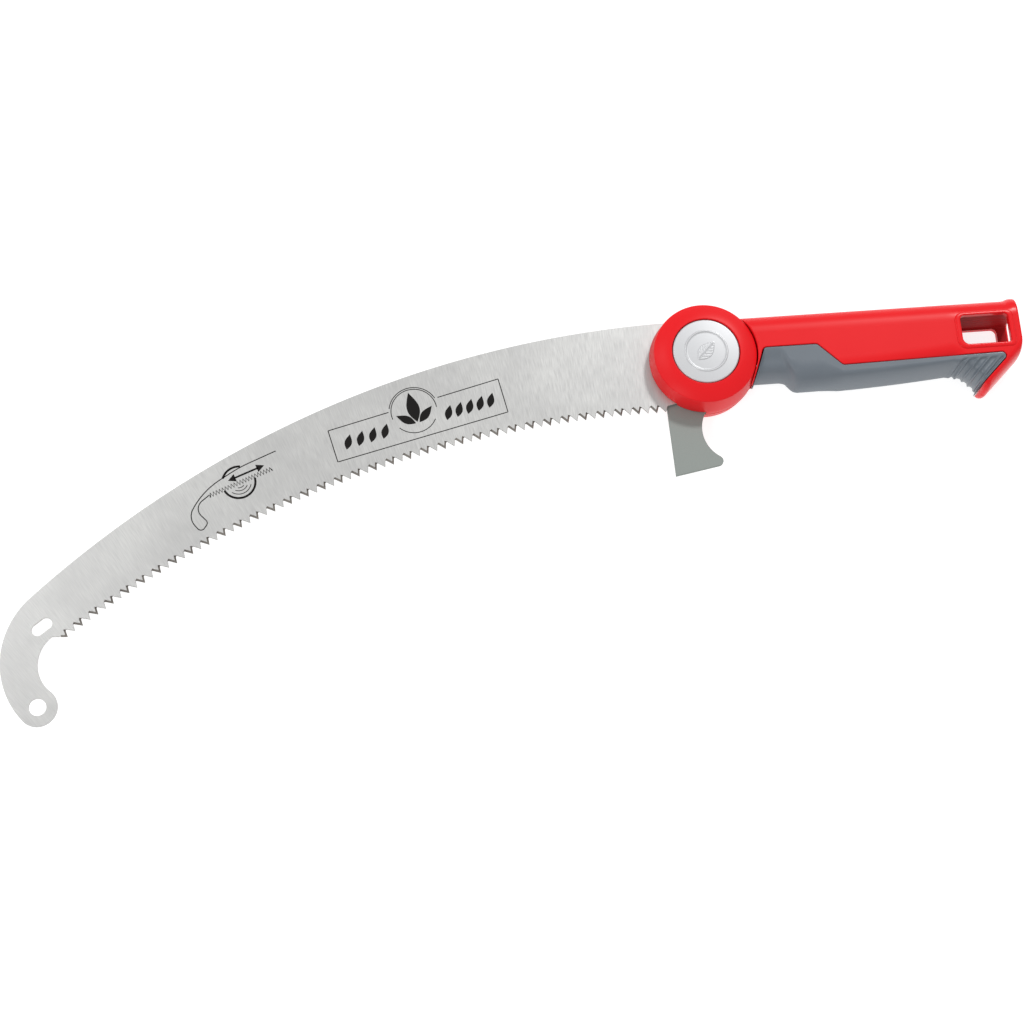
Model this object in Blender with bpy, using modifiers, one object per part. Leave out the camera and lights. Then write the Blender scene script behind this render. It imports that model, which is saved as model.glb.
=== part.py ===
"""Curved pruning-saw head with a tilting blade, a bark knife and a short hand-grip that takes a pole.

Lengths are millimetres and are turned into metres when a mesh is made. The origin is on the
hub axis, on the flat rear face of the hub; +Z runs along the hub axis towards the button and
+X along the hand-grip towards the pole socket. The saw lies flat, with its blade along -X.
"""

import math

import bmesh
import bpy
from mathutils import Matrix, Vector

MM = 0.001
GAP = 0.3  # between two pieces that touch
ROUND = 36  # sides of a large round piece
SMALL_ROUND = 12  # sides of a screw or a pin

# ---- saw blade -------------------------------------------------------------------------------
CUT_LENGTH = 370.0  # straight line from the first tooth tip to the last
BLADE_THICKNESS = 1.5
TOOTH_PITCH = 5.3
TOOTH_DEPTH = 3.8
TOOTH_LEAN = 0.7  # where a tip stands along its pitch, 0.5 being an even tooth
TOOTH_LINE_RADIUS = 607.0
TOOTH_LINE_CENTRE = Vector((-31.8, -638.0))
HEEL_ANGLE = 89.4  # direction of the last tooth, seen from the tooth line's centre
ROOT_HEEL_ANGLE = -109.0  # where the tooth line runs into the round root
SPINE_RADIUS = 602.8
SPINE_CENTRE = Vector((-12.0, -577.6))
HOOK_RADIUS = 50.1  # outer curve of the hooked tip
HOOK_TURN = 90.4
NOSE_RADIUS = 11.2
NOSE_HOLE_RADIUS = 4.9
HOLLOW_RADIUS = 20.0  # inner curve of the hook
HOLLOW_TURN = 81.3
HOLLOW_SWEEP = 104.0
SLOT_RADIUS = 3.4
SLOT_LENGTH = 6.0
SLOT_INSET = (4.8, 13.7)  # from the first tooth tip, along the tooth line and across it

# ---- bark knife ------------------------------------------------------------------------------
KNIFE_THICKNESS = 2.0
KNIFE_REACH = 70.2  # hub axis to the corner of the straight end
KNIFE_WIDTH = 26.7  # that corner to the middle of the beak's round point
KNIFE_END_SLOPE = 9.7  # degrees that the straight end rises towards the beak
KNIFE_BEAK_RADIUS = 3.2
KNIFE_THROAT_RADIUS = 20.0
KNIFE_THROAT_SWEEP = 104.0
KNIFE_THROAT_TURN = 56.7  # direction from the beak to the middle of the throat's curve
KNIFE_ROOT_START = -68.0  # where the throat runs into the knife's round root
KNIFE_LEAN = 1.3  # degrees that the straight side leans inwards

# ---- hub -------------------------------------------------------------------------------------
HUB_RADIUS = 32.2
HUB_DRAFT = 1.7  # how much smaller the hub is at its two faces
HUB_WALL = 2.6
BLADE_FRONT_Z = 16.0
SHOULDER_Z = 28.0  # outer edge of the red front face
RIM_Z = 31.8  # inner edge of the red front face
SHOULDER_ROUND = 1.4
REAR_FLOOR = 2.6
REAR_EDGE = 1.6  # rounding of the rear disc's edge
REAR_WALL_TOP = 10.2
CLAMP_THICKNESS = 2.1
WASHER_THICKNESS = 0.7
RING_WALL = 4.2  # the rear disc's ring, under the wear washer
CORE_BORE = 13.2  # hole through blade, knife and clamp plate
SCREW_CIRCLE = 19.4
BUTTON_WELL_FLOOR = 23.0
BUTTON_WELL_WALL = 2.5

# ---- button and index lock -------------------------------------------------------------------
BUTTON_RADIUS = 19.7
BUTTON_EDGE_Z = 31.6
BUTTON_DOME = 0.9
BUTTON_SKIRT = 3.3
BUTTON_TRAVEL = 3.2
RELEASE_MARGIN = 0.4  # between the star and the lock ring with the button fully in
BUTTON_RING_RADIUS = 12.4
BUTTON_RING_WIDTH = 1.2
BUTTON_WALL = 1.8
BUTTON_PLAY = 0.45
INDEX_STEPS = 24  # 15 degrees each
STAR_TIP_RADIUS = 17.8
STAR_TOOTH = 1.9
STAR_THICKNESS = 2.6
TUBE_RADIUS = 12.5
TUBE_WALL = 2.9
LEG_COUNT = 3
LEG_HALF_ANGLE = 22.0
SLOT_MARGIN_ANGLE = 2.5
WEB_THICKNESS = 1.6
PIVOT_BOSS_RADIUS = 6.3
PIVOT_BOLT_RADIUS = 2.85
PIVOT_BOLT_TIP_Z = 8.4
INSERT_BACK_Z = 8.0
INSERT_WALL = 1.45
BORE_FLOOR_Z = 6.0
BUSH_WALL = 1.9
HEX_RADIUS = 1.7
HEX_DEPTH = 1.0
PIVOT_HEAD_RADIUS = 4.6
PIVOT_HEAD_HEIGHT = 2.0
PIVOT_WASHER_RADIUS = 8.6
PIVOT_WASHER_THICKNESS = 1.0
SPRING_WIRE = 1.2
SPRING_TURNS = 5

# ---- hand-grip -------------------------------------------------------------------------------
GRIP_END_X = 190.0  # hub axis to the open end
HANDLE_THICKNESS = 30.0
HANDLE_TOP = 23.5
BODY_START_X = 12.0  # the handle's body reaches this far into the hub's rear disc
HANDLE_CROWN = 13.0  # height of the rounded top and bottom of the section
TAIL_CROWN = 7.0  # the same at the tail
SECTION_POWER = 2.3
NECK_BOTTOM = -18.4
BELLY_BOTTOM = -22.9
WAIST_BOTTOM = -17.8
NECK_LENGTH = 11.8  # hub wall to the start of the belly
NECK_SLOPE = 12.0
WAIST_FROM_END = 43.0
CORE_PAST_WAIST = 28.0
TAIL_THICKNESS = 5.2
TAIL_FROM_END = 24.3  # open end to the middle of the tail's round tip
TAIL_DROP = -31.1  # height of that middle
TAIL_SLOPE = 42.9  # degrees
TAIL_HEEL_RADIUS = 8.0
END_LIP = 1.2
END_LIP_LENGTH = 5.0
SHELL_WALL = 2.8
GRIP_WALL = 3.0
DISC_OVERLAP = 1.4  # how far the body runs into the rear disc's wall
SEAT_GAP = 0.6  # between the turning head and the handle
SPLIT_HIGH = 0.6  # red and grey meet here beside the hub
SPLIT_LOW = -13.6  # and here along the handle
SPLIT_FROM_HUB = 2.3
SPLIT_STEP_FROM_HUB = (34.3, 48.3)
SOCKET_DEPTH = 69.0
SOCKET_HEIGHT = 20.8
SOCKET_ROOF = 10.1
SOCKET_WALL = 3.2
WINDOW_LENGTH = 29.0
WINDOW_FROM_END = 7.0
WINDOW_SILL = 1.2  # the window is this much lower than the socket, above and below
WINDOW_ROUND = 3.0
SCREW_FROM_WALL = 8.0
BOSS_SCREW_SEAT = 2.2  # height of a screw's head above the rear face
ROOF_SCREW_SEAT = 7.0
SCREW_RADIUS = 1.5
SCREW_HEAD_RADIUS = 2.7
SCREW_HEAD_HEIGHT = 1.2
SCREW_COVER = 2.0  # plastic left over a handle screw's tip
BOSS_WALL = 2.2

# ---- heights that follow ---------------------------------------------------------------------
BLADE_BACK_Z = BLADE_FRONT_Z - BLADE_THICKNESS
KNIFE_FRONT_Z = BLADE_BACK_Z - GAP
KNIFE_BACK_Z = KNIFE_FRONT_Z - KNIFE_THICKNESS
CLAMP_FRONT_Z = KNIFE_BACK_Z - GAP
CLAMP_BACK_Z = CLAMP_FRONT_Z - CLAMP_THICKNESS
WASHER_FRONT_Z = CLAMP_BACK_Z - GAP
WASHER_BACK_Z = WASHER_FRONT_Z - WASHER_THICKNESS
RING_WALL_TOP_Z = WASHER_BACK_Z - GAP
STAR_TOP_Z = CLAMP_BACK_Z - GAP
STAR_BACK_Z = STAR_TOP_Z - STAR_THICKNESS
LOCK_BACK_Z = STAR_TOP_Z - BUTTON_TRAVEL + RELEASE_MARGIN
LOCK_TOP_Z = STAR_TOP_Z - 0.1
HEAD_SEAT_Z = BLADE_FRONT_Z + GAP
WELL_BACK_Z = BUTTON_WELL_FLOOR - BUTTON_WELL_WALL
CLAMP_SCREW_TIP_Z = BUTTON_WELL_FLOOR - 1.6
WEB_TOP_Z = WELL_BACK_Z - 1.8
WEB_BACK_Z = WEB_TOP_Z - WEB_THICKNESS
BOSS_TOP_Z = WELL_BACK_Z - GAP
BUSH_TOP_Z = BUTTON_WELL_FLOOR + GAP
PIVOT_WASHER_Z = BUSH_TOP_Z + GAP
PIVOT_HEAD_Z = PIVOT_WASHER_Z + PIVOT_WASHER_THICKNESS + GAP
BUTTON_INSIDE_Z = PIVOT_HEAD_Z + PIVOT_HEAD_HEIGHT + BUTTON_TRAVEL + GAP
LOCK_OUTER_RADIUS = STAR_TIP_RADIUS + 1.7
LOCK_PLAY = 0.35
STAR_SPACE_RADIUS = STAR_TIP_RADIUS + 0.8
RING_WALL_RADIUS = LOCK_OUTER_RADIUS + GAP
RING_WALL_OUTER = RING_WALL_RADIUS + RING_WALL
HANDLE_MID_Z = HANDLE_THICKNESS / 2

# ---- places along the handle that follow -----------------------------------------------------
SEAT_RADIUS = HUB_RADIUS + SEAT_GAP
NECK_X = HUB_RADIUS + NECK_LENGTH
BELLY_X = NECK_X + NECK_SLOPE
WAIST_X = GRIP_END_X - WAIST_FROM_END
TAIL_END = Vector((GRIP_END_X - TAIL_FROM_END, TAIL_DROP))
TAIL_RADIUS = TAIL_THICKNESS / 2
CORE_END_X = WAIST_X + CORE_PAST_WAIST
SOCKET_TOP = HANDLE_TOP - SOCKET_ROOF
SOCKET_BOTTOM = SOCKET_TOP - SOCKET_HEIGHT
SOCKET_STOP_X = GRIP_END_X - SOCKET_DEPTH
HOLLOW_START_X = SEAT_RADIUS + SHELL_WALL + 1.0
HOLLOW_END_X = SOCKET_STOP_X - SOCKET_WALL
BOSS_SPOTS = (
    (HOLLOW_START_X + SCREW_FROM_WALL, 5.0),
    (HOLLOW_END_X - SCREW_FROM_WALL, 5.0),
)
ROOF_SPOTS = tuple(
    (SOCKET_STOP_X + SOCKET_DEPTH * share, (HANDLE_TOP + SOCKET_TOP) / 2 - 0.4)
    for share in (0.25, 0.8)
)
ROOT_RADIUS = SPINE_RADIUS - SPINE_CENTRE.length
CLAMP_RADIUS = HUB_RADIUS - HUB_WALL - GAP


# ---- scene and materials ---------------------------------------------------------------------
def clear_scene():
    for obj in list(bpy.data.objects):
        bpy.data.objects.remove(obj)


def new_collection(name):
    collection = bpy.data.collections.new(name)
    bpy.context.scene.collection.children.link(collection)
    return collection


def material(name, colour, roughness, metallic=0.0):
    made = bpy.data.materials.new(name)
    made.use_nodes = True
    shader = made.node_tree.nodes["Principled BSDF"]
    shader.inputs["Base Color"].default_value = (*colour, 1.0)
    shader.inputs["Roughness"].default_value = roughness
    shader.inputs["Metallic"].default_value = metallic
    return made


# ---- modelling helpers -----------------------------------------------------------------------
def keep_as(name, mesh, collection, looks=None):
    """A named object in a collection, its mesh welded."""
    form = bmesh.new()
    form.from_mesh(mesh)
    bmesh.ops.remove_doubles(form, verts=form.verts, dist=0.00001)
    form.to_mesh(mesh)
    form.free()
    mesh.name = name
    obj = bpy.data.objects.new(name, mesh)
    collection.objects.link(obj)
    if looks:
        obj.data.materials.append(looks)
    else:
        obj.hide_render = True
        obj.display_type = "WIRE"
    return obj


def prism(name, outlines, low, high, collection, looks=None):
    """Flat outlines, the first around the others, raised from one height to another."""
    curve = bpy.data.curves.new(name, "CURVE")
    curve.dimensions = "2D"
    curve.fill_mode = "BOTH"
    curve.extrude = (high - low) / 2 * MM
    for outline in outlines:
        spline = curve.splines.new("POLY")
        spline.points.add(len(outline) - 1)
        for point, (x, y) in zip(spline.points, outline):
            point.co = (x * MM, y * MM, 0.0, 1.0)
        spline.use_cyclic_u = True
    flat = bpy.data.objects.new(name, curve)
    bpy.context.scene.collection.objects.link(flat)
    graph = bpy.context.evaluated_depsgraph_get()
    mesh = bpy.data.meshes.new_from_object(flat.evaluated_get(graph))
    mesh.transform(Matrix.Translation((0, 0, (low + high) / 2 * MM)))
    bpy.data.objects.remove(flat)
    return keep_as(name, mesh, collection, looks)


def turned(name, profile, collection, looks=None, steps=ROUND, closed=True):
    """A profile of (radius, height) points turned round the Z axis. It runs down its outer side."""
    mesh = bpy.data.meshes.new(name)
    points = [(r * MM, 0.0, z * MM) for r, z in profile]
    edges = [(i, i + 1) for i in range(len(points) - 1)]
    if closed:
        edges.append((len(points) - 1, 0))
    mesh.from_pydata(points, edges, [])
    line = bpy.data.objects.new(name, mesh)
    bpy.context.scene.collection.objects.link(line)
    screw = line.modifiers.new("turn", "SCREW")
    screw.steps = screw.render_steps = steps
    screw.use_merge_vertices = True
    screw.merge_threshold = 0.00001
    graph = bpy.context.evaluated_depsgraph_get()
    solid = bpy.data.meshes.new_from_object(line.evaluated_get(graph))
    bpy.data.objects.remove(line)
    return keep_as(name, solid, collection, looks)


def ring(name, inner, outer, low, high, collection, looks=None, steps=ROUND):
    profile = [(inner, high), (outer, high), (outer, low), (inner, low)]
    return turned(name, profile, collection, looks, steps)


def cylinder(name, radius, low, high, collection, looks=None, at=(0.0, 0.0), steps=ROUND):
    form = bmesh.new()
    bmesh.ops.create_cone(
        form, cap_ends=True, segments=steps, radius1=radius * MM, radius2=radius * MM,
        depth=(high - low) * MM,
    )
    form.transform(Matrix.Translation((at[0] * MM, at[1] * MM, (low + high) / 2 * MM)))
    mesh = bpy.data.meshes.new(name)
    form.to_mesh(mesh)
    form.free()
    return keep_as(name, mesh, collection, looks)


def box(name, low, high, collection, rounding=0.0):
    """A box between two corners, with its edges rounded if asked."""
    form = bmesh.new()
    bmesh.ops.create_cube(form, size=1.0)
    size = [(b - a) * MM for a, b in zip(low, high)]
    centre = [(a + b) / 2 * MM for a, b in zip(low, high)]
    form.transform(Matrix.Translation(centre) @ Matrix.Diagonal((*size, 1.0)))
    if rounding:
        bmesh.ops.bevel(
            form, geom=form.edges, offset=rounding * MM, segments=3, affect="EDGES", profile=0.5
        )
    mesh = bpy.data.meshes.new(name)
    form.to_mesh(mesh)
    form.free()
    return keep_as(name, mesh, collection)


def loft(name, sections, collection, looks=None):
    """A closed skin through rings of equally many points, with a flat face at each end."""
    form = bmesh.new()
    rings = [[form.verts.new(Vector(p) * MM) for p in section] for section in sections]
    count = len(rings[0])
    for left, right in zip(rings, rings[1:]):
        for i in range(count):
            j = (i + 1) % count
            form.faces.new((left[i], left[j], right[j], right[i]))
    form.faces.new(rings[0][::-1])
    form.faces.new(rings[-1])
    bmesh.ops.recalc_face_normals(form, faces=form.faces)
    mesh = bpy.data.meshes.new(name)
    form.to_mesh(mesh)
    form.free()
    return keep_as(name, mesh, collection, looks)


def combine(obj, other, operation):
    """Joins, cuts or intersects a solid with another and keeps the result as its mesh."""
    step = obj.modifiers.new(operation.lower(), "BOOLEAN")
    step.operation = operation
    step.object = other
    graph = bpy.context.evaluated_depsgraph_get()
    result = bpy.data.meshes.new_from_object(obj.evaluated_get(graph))
    obj.modifiers.remove(step)
    obj.data = result
    form = bmesh.new()
    form.from_mesh(result)
    bmesh.ops.remove_doubles(form, verts=form.verts, dist=0.000002)
    form.to_mesh(result)
    form.free()
    return obj


def cut(obj, *others):
    for other in others:
        combine(obj, other, "DIFFERENCE")
    return obj


def join(obj, *others):
    for other in others:
        combine(obj, other, "UNION")
    return obj


def shade(obj, degrees=32.0):
    obj.data.shade_smooth()
    obj.data.set_sharp_from_angle(angle=math.radians(degrees))


# ---- flat geometry ---------------------------------------------------------------------------
def polar(centre, radius, degrees):
    turn = math.radians(degrees)
    return Vector((centre[0] + radius * math.cos(turn), centre[1] + radius * math.sin(turn)))


def arc(centre, radius, start, end, steps):
    """Points along an arc, both ends included, from one direction to another in degrees."""
    return [
        polar(centre, radius, start + (end - start) * i / steps) for i in range(steps + 1)
    ]


def circle(centre, radius, steps):
    return arc(centre, radius, 0.0, 360.0 - 360.0 / steps, steps - 1)


def rounded(points, radii, steps=4):
    """An outline whose corners are rounded, each by its own radius."""
    made = []
    count = len(points)
    for i, (corner, radius) in enumerate(zip(points, radii)):
        corner = Vector(corner)
        if not radius:
            made.append(corner)
            continue
        before = (Vector(points[i - 1]) - corner).normalized()
        after = (Vector(points[(i + 1) % count]) - corner).normalized()
        half = before.angle(after) / 2
        reach = radius / math.tan(half)
        start, end = corner + before * reach, corner + after * reach
        middle = corner + (before + after).normalized() * radius / math.sin(half)
        a0 = math.degrees(math.atan2(start.y - middle.y, start.x - middle.x))
        a1 = math.degrees(math.atan2(end.y - middle.y, end.x - middle.x))
        turn = (a1 - a0 + 180.0) % 360.0 - 180.0
        made += arc(middle, radius, a0, a0 + turn, steps)
    return made


def grown(outline, distance):
    """An outline moved outwards by a distance. It runs anticlockwise."""
    made = []
    count = len(outline)
    for i in range(count):
        before = (Vector(outline[i]) - Vector(outline[i - 1])).normalized()
        after = (Vector(outline[(i + 1) % count]) - Vector(outline[i])).normalized()
        out_before = Vector((before.y, -before.x))
        out_after = Vector((after.y, -after.x))
        side = (out_before + out_after).normalized()
        made.append(Vector(outline[i]) + side * distance / max(side.dot(out_after), 0.4))
    return made


# ---- blade and knife -------------------------------------------------------------------------
def direction(origin, target):
    return math.degrees(math.atan2(target.y - origin.y, target.x - origin.x))


def first_tooth_angle():
    return HEEL_ANGLE + math.degrees(2 * math.asin(CUT_LENGTH / 2 / TOOTH_LINE_RADIUS))


def tooth_line():
    """Tips and gullets from the hooked end to the hub. Every tip leans towards the hub."""
    start = first_tooth_angle()
    sweep = math.radians(start - HEEL_ANGLE)
    count = round(sweep * TOOTH_LINE_RADIUS / TOOTH_PITCH)
    step = (start - HEEL_ANGLE) / count
    points = []
    for i in range(count + 1):
        tip = start - i * step
        points.append(polar(TOOTH_LINE_CENTRE, TOOTH_LINE_RADIUS, tip))
        gullet = tip - (1 - TOOTH_LEAN) * step
        points.append(polar(TOOTH_LINE_CENTRE, TOOTH_LINE_RADIUS + TOOTH_DEPTH, gullet))
    return points


def tip_places():
    """Where the spine's arc ends, as a direction, and the middles of the hook and the nose."""
    first_tip = polar(TOOTH_LINE_CENTRE, TOOTH_LINE_RADIUS, first_tooth_angle())
    far = direction(SPINE_CENTRE, first_tip)
    hook_centre = polar(SPINE_CENTRE, SPINE_RADIUS - HOOK_RADIUS, far)
    return far, hook_centre, polar(hook_centre, HOOK_RADIUS - NOSE_RADIUS, far + HOOK_TURN)


def blade_outline():
    """The blade, anticlockwise: spine, hooked tip, tooth line and the round root in the hub."""
    far, hook_centre, nose_centre = tip_places()
    near = direction(SPINE_CENTRE, Vector((0.0, 0.0)))
    spine = arc(SPINE_CENTRE, SPINE_RADIUS, near, far, 34)
    hook = arc(hook_centre, HOOK_RADIUS, far, far + HOOK_TURN, 18)
    inward = far - HOLLOW_TURN
    nose = arc(nose_centre, NOSE_RADIUS, far + HOOK_TURN, inward + 360.0, 18)
    hollow_centre = polar(nose_centre, NOSE_RADIUS + HOLLOW_RADIUS, inward)
    hollow = arc(
        hollow_centre, HOLLOW_RADIUS, inward + 180.0, inward + 180.0 - HOLLOW_SWEEP, 14
    )
    teeth = tooth_line()
    root = arc((0.0, 0.0), ROOT_RADIUS, ROOT_HEEL_ANGLE, near, 26)
    return spine[:-1] + hook[:-1] + nose[:-1] + hollow + teeth + root[:-1]


def tip_slot():
    """The small oblong hole above the first tooth, along the tooth line."""
    angle = first_tooth_angle()
    tip = polar(TOOTH_LINE_CENTRE, TOOTH_LINE_RADIUS, angle)
    along = polar((0.0, 0.0), 1.0, angle + 90.0)
    across = polar((0.0, 0.0), 1.0, angle)
    near = tip + along * SLOT_INSET[0] + across * SLOT_INSET[1]
    far = near + along * SLOT_LENGTH
    heading = angle + 90.0
    return arc(far, SLOT_RADIUS, heading - 90.0, heading + 90.0, 8) + arc(
        near, SLOT_RADIUS, heading + 90.0, heading + 270.0, 8
    )


def clamp_spots():
    return [polar((0.0, 0.0), SCREW_CIRCLE, 90.0 + i * 120.0) for i in range(3)]


def screw_holes(extra):
    return [
        circle(spot, SCREW_RADIUS + extra, SMALL_ROUND) for spot in clamp_spots()
    ]


def knife_outline():
    """The knife, anticlockwise from the hub: straight side, straight end, beak and throat."""
    lean = math.tan(math.radians(KNIFE_LEAN))
    left_end = Vector((-ROOT_RADIUS + KNIFE_REACH * lean, -KNIFE_REACH))
    end_normal = KNIFE_END_SLOPE - 90.0
    on_end = polar(left_end, KNIFE_WIDTH, KNIFE_END_SLOPE)
    beak_centre = polar(on_end, KNIFE_BEAK_RADIUS, end_normal + 180.0)
    beak = arc(beak_centre, KNIFE_BEAK_RADIUS, end_normal, KNIFE_THROAT_TURN, 7)
    throat_centre = polar(
        beak_centre, KNIFE_BEAK_RADIUS + KNIFE_THROAT_RADIUS, KNIFE_THROAT_TURN
    )
    throat = arc(
        throat_centre, KNIFE_THROAT_RADIUS, KNIFE_THROAT_TURN + 180.0,
        KNIFE_THROAT_TURN + 180.0 - KNIFE_THROAT_SWEEP, 10,
    )
    root = arc((0.0, 0.0), ROOT_RADIUS, KNIFE_ROOT_START, 180.0, 22)
    return [left_end] + beak + throat[1:] + root


# ---- hub pieces ------------------------------------------------------------------------------
def hub_radius_at(z):
    """The hub's drafted wall: widest from the seam to the blade, narrower at the two faces."""
    if z > BLADE_FRONT_Z:
        return HUB_RADIUS - HUB_DRAFT * (z - BLADE_FRONT_Z) / (SHOULDER_Z - BLADE_FRONT_Z)
    if z < REAR_WALL_TOP:
        return HUB_RADIUS - HUB_DRAFT * (REAR_WALL_TOP - z) / REAR_WALL_TOP
    return HUB_RADIUS


def head_cover_profile():
    well = BUTTON_RADIUS + BUTTON_PLAY
    wall = HUB_RADIUS - HUB_WALL
    pocket = ROOT_RADIUS + 0.6
    top = hub_radius_at(SHOULDER_Z)
    middle = (well + top) / 2
    return [
        (well, RIM_Z),
        (well + 0.5, RIM_Z + 0.15),
        (middle, (RIM_Z + SHOULDER_Z) / 2 + 0.75),
        (top - SHOULDER_ROUND, SHOULDER_Z + 0.25),
        (top - SHOULDER_ROUND * 0.35, SHOULDER_Z - 0.35),
        (top, SHOULDER_Z - SHOULDER_ROUND),
        (HUB_RADIUS, BLADE_FRONT_Z),
        (HUB_RADIUS, REAR_WALL_TOP + GAP),
        (wall, REAR_WALL_TOP + GAP),
        (wall, HEAD_SEAT_Z),
        (top - HUB_WALL, SHOULDER_Z - HUB_WALL),
        (pocket, SHOULDER_Z - HUB_WALL + 0.6),
        (pocket, HEAD_SEAT_Z),
        (CORE_BORE, HEAD_SEAT_Z),
        (CORE_BORE, WELL_BACK_Z),
        (bush_outer() + GAP, WELL_BACK_Z),
        (bush_outer() + GAP, BUTTON_WELL_FLOOR),
        (well, BUTTON_WELL_FLOOR),
    ]


def bush_outer():
    return PIVOT_BOLT_RADIUS + GAP + BUSH_WALL


def leg_sector(extra_radius, extra_angle, low, high, name, collection):
    """Three arc-shaped legs, or the slots that they pass through."""
    inner = TUBE_RADIUS - TUBE_WALL - extra_radius
    outer = TUBE_RADIUS + extra_radius
    half = LEG_HALF_ANGLE + extra_angle
    made = []
    for i in range(LEG_COUNT):
        middle = 30.0 + i * 360.0 / LEG_COUNT
        outline = arc((0, 0), outer, middle - half, middle + half, 6)
        outline += arc((0, 0), inner, middle + half, middle - half, 6)
        made.append(prism(f"{name}_{i + 1}", [outline], low, high, collection))
    return made


def star_outline(tip, root, lean):
    """A toothed circle: each tooth is a narrow flat between two slopes, on a 15 degree pitch."""
    points = []
    step = 360.0 / INDEX_STEPS
    for i in range(INDEX_STEPS):
        middle = i * step
        for radius, offset in ((root, -0.5 + lean), (tip, -0.13), (tip, 0.13), (root, 0.5 - lean)):
            points.append(polar((0.0, 0.0), radius, middle + offset * step))
    return points


def make_head(parts, tools, looks):
    cover = turned("head_cover", head_cover_profile(), parts, looks["red"])
    blade_way = blade_neck()
    cut(
        cover,
        prism("blade_notch", [blade_way], REAR_WALL_TOP, HEAD_SEAT_Z, tools),
        prism(
            "knife_notch", [grown(knife_outline(), GAP)], REAR_WALL_TOP, BLADE_BACK_Z, tools
        ),
        *leg_sector(
            GAP, SLOT_MARGIN_ANGLE, WELL_BACK_Z - 1, BUTTON_WELL_FLOOR + 1, "leg_slot", tools
        ),
    )
    for i, spot in enumerate(clamp_spots()):
        cut(
            cover,
            cylinder(
                f"cover_screw_hole_{i + 1}", SCREW_RADIUS + GAP, HEAD_SEAT_Z - 1,
                CLAMP_SCREW_TIP_Z + 0.4, tools, at=spot, steps=SMALL_ROUND,
            ),
        )
    bore = circle((0.0, 0.0), CORE_BORE, ROUND)
    nose_hole = circle(tip_places()[2], NOSE_HOLE_RADIUS, 20)
    blade = prism(
        "saw_blade", [blade_outline(), bore, nose_hole, tip_slot(), *screw_holes(GAP)],
        BLADE_BACK_Z, BLADE_FRONT_Z, parts, looks["blade_steel"],
    )
    knife = prism(
        "bark_knife", [knife_outline(), bore, *screw_holes(GAP)],
        KNIFE_BACK_Z, KNIFE_FRONT_Z, parts, looks["knife_steel"],
    )
    clamp = prism(
        "clamp_plate", [circle((0.0, 0.0), CLAMP_RADIUS, ROUND), bore, *screw_holes(GAP)],
        CLAMP_BACK_Z, CLAMP_FRONT_Z, parts, looks["zinc"],
    )
    screws = []
    head_low = CLAMP_BACK_Z + GAP
    for i, spot in enumerate(clamp_spots()):
        cut(
            clamp,
            cylinder(
                f"clamp_counterbore_{i + 1}", SCREW_HEAD_RADIUS + GAP, CLAMP_BACK_Z - 1,
                head_low + SCREW_HEAD_HEIGHT + GAP, tools, at=spot, steps=SMALL_ROUND,
            ),
        )
        screws.append(
            screw(
                f"clamp_screw_{i + 1}", spot, head_low, CLAMP_SCREW_TIP_Z, parts,
                looks["fastener"],
            )
        )
    return [cover, blade, knife, clamp, *screws]


def blade_neck():
    """The way that the blade takes out of the hub, a gap wider than the blade."""
    reach = HUB_RADIUS + 8.0
    upper = [
        Vector((x, SPINE_CENTRE.y + math.sqrt((SPINE_RADIUS + GAP) ** 2 - (x - SPINE_CENTRE.x) ** 2)))
        for x in (-reach, -reach * 0.75, -reach * 0.5, -reach * 0.25)
    ]
    last_tip, last_gullet = tooth_line()[-2:]
    heel = polar((0.0, 0.0), ROOT_RADIUS, ROOT_HEEL_ANGLE)
    slope = (heel - last_gullet).normalized()
    out = Vector((slope.y, -slope.x)) * GAP
    corner = Vector((GAP, -GAP))
    far = math.degrees(math.acos((-reach - TOOTH_LINE_CENTRE.x) / TOOTH_LINE_RADIUS))
    under = arc(TOOTH_LINE_CENTRE, TOOTH_LINE_RADIUS - GAP, far, HEEL_ANGLE, 3)
    return [*upper[::-1], *under, last_tip + corner, last_gullet + corner, heel + out]


def screw(name, spot, head_low, tip, parts, looks):
    """A pan-head screw driven from behind: head at the low end, shank up to its tip."""
    profile = [
        (0.0, tip),
        (SCREW_RADIUS - 0.4, tip),
        (SCREW_RADIUS, tip - 0.8),
        (SCREW_RADIUS, head_low + SCREW_HEAD_HEIGHT),
        (SCREW_HEAD_RADIUS, head_low + SCREW_HEAD_HEIGHT),
        (SCREW_HEAD_RADIUS, head_low + 0.4),
        (SCREW_HEAD_RADIUS - 0.5, head_low),
        (0.0, head_low),
    ]
    made = turned(name, profile, parts, looks, steps=SMALL_ROUND, closed=False)
    made.data.transform(Matrix.Translation((spot[0] * MM, spot[1] * MM, 0.0)))
    return made


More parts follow.
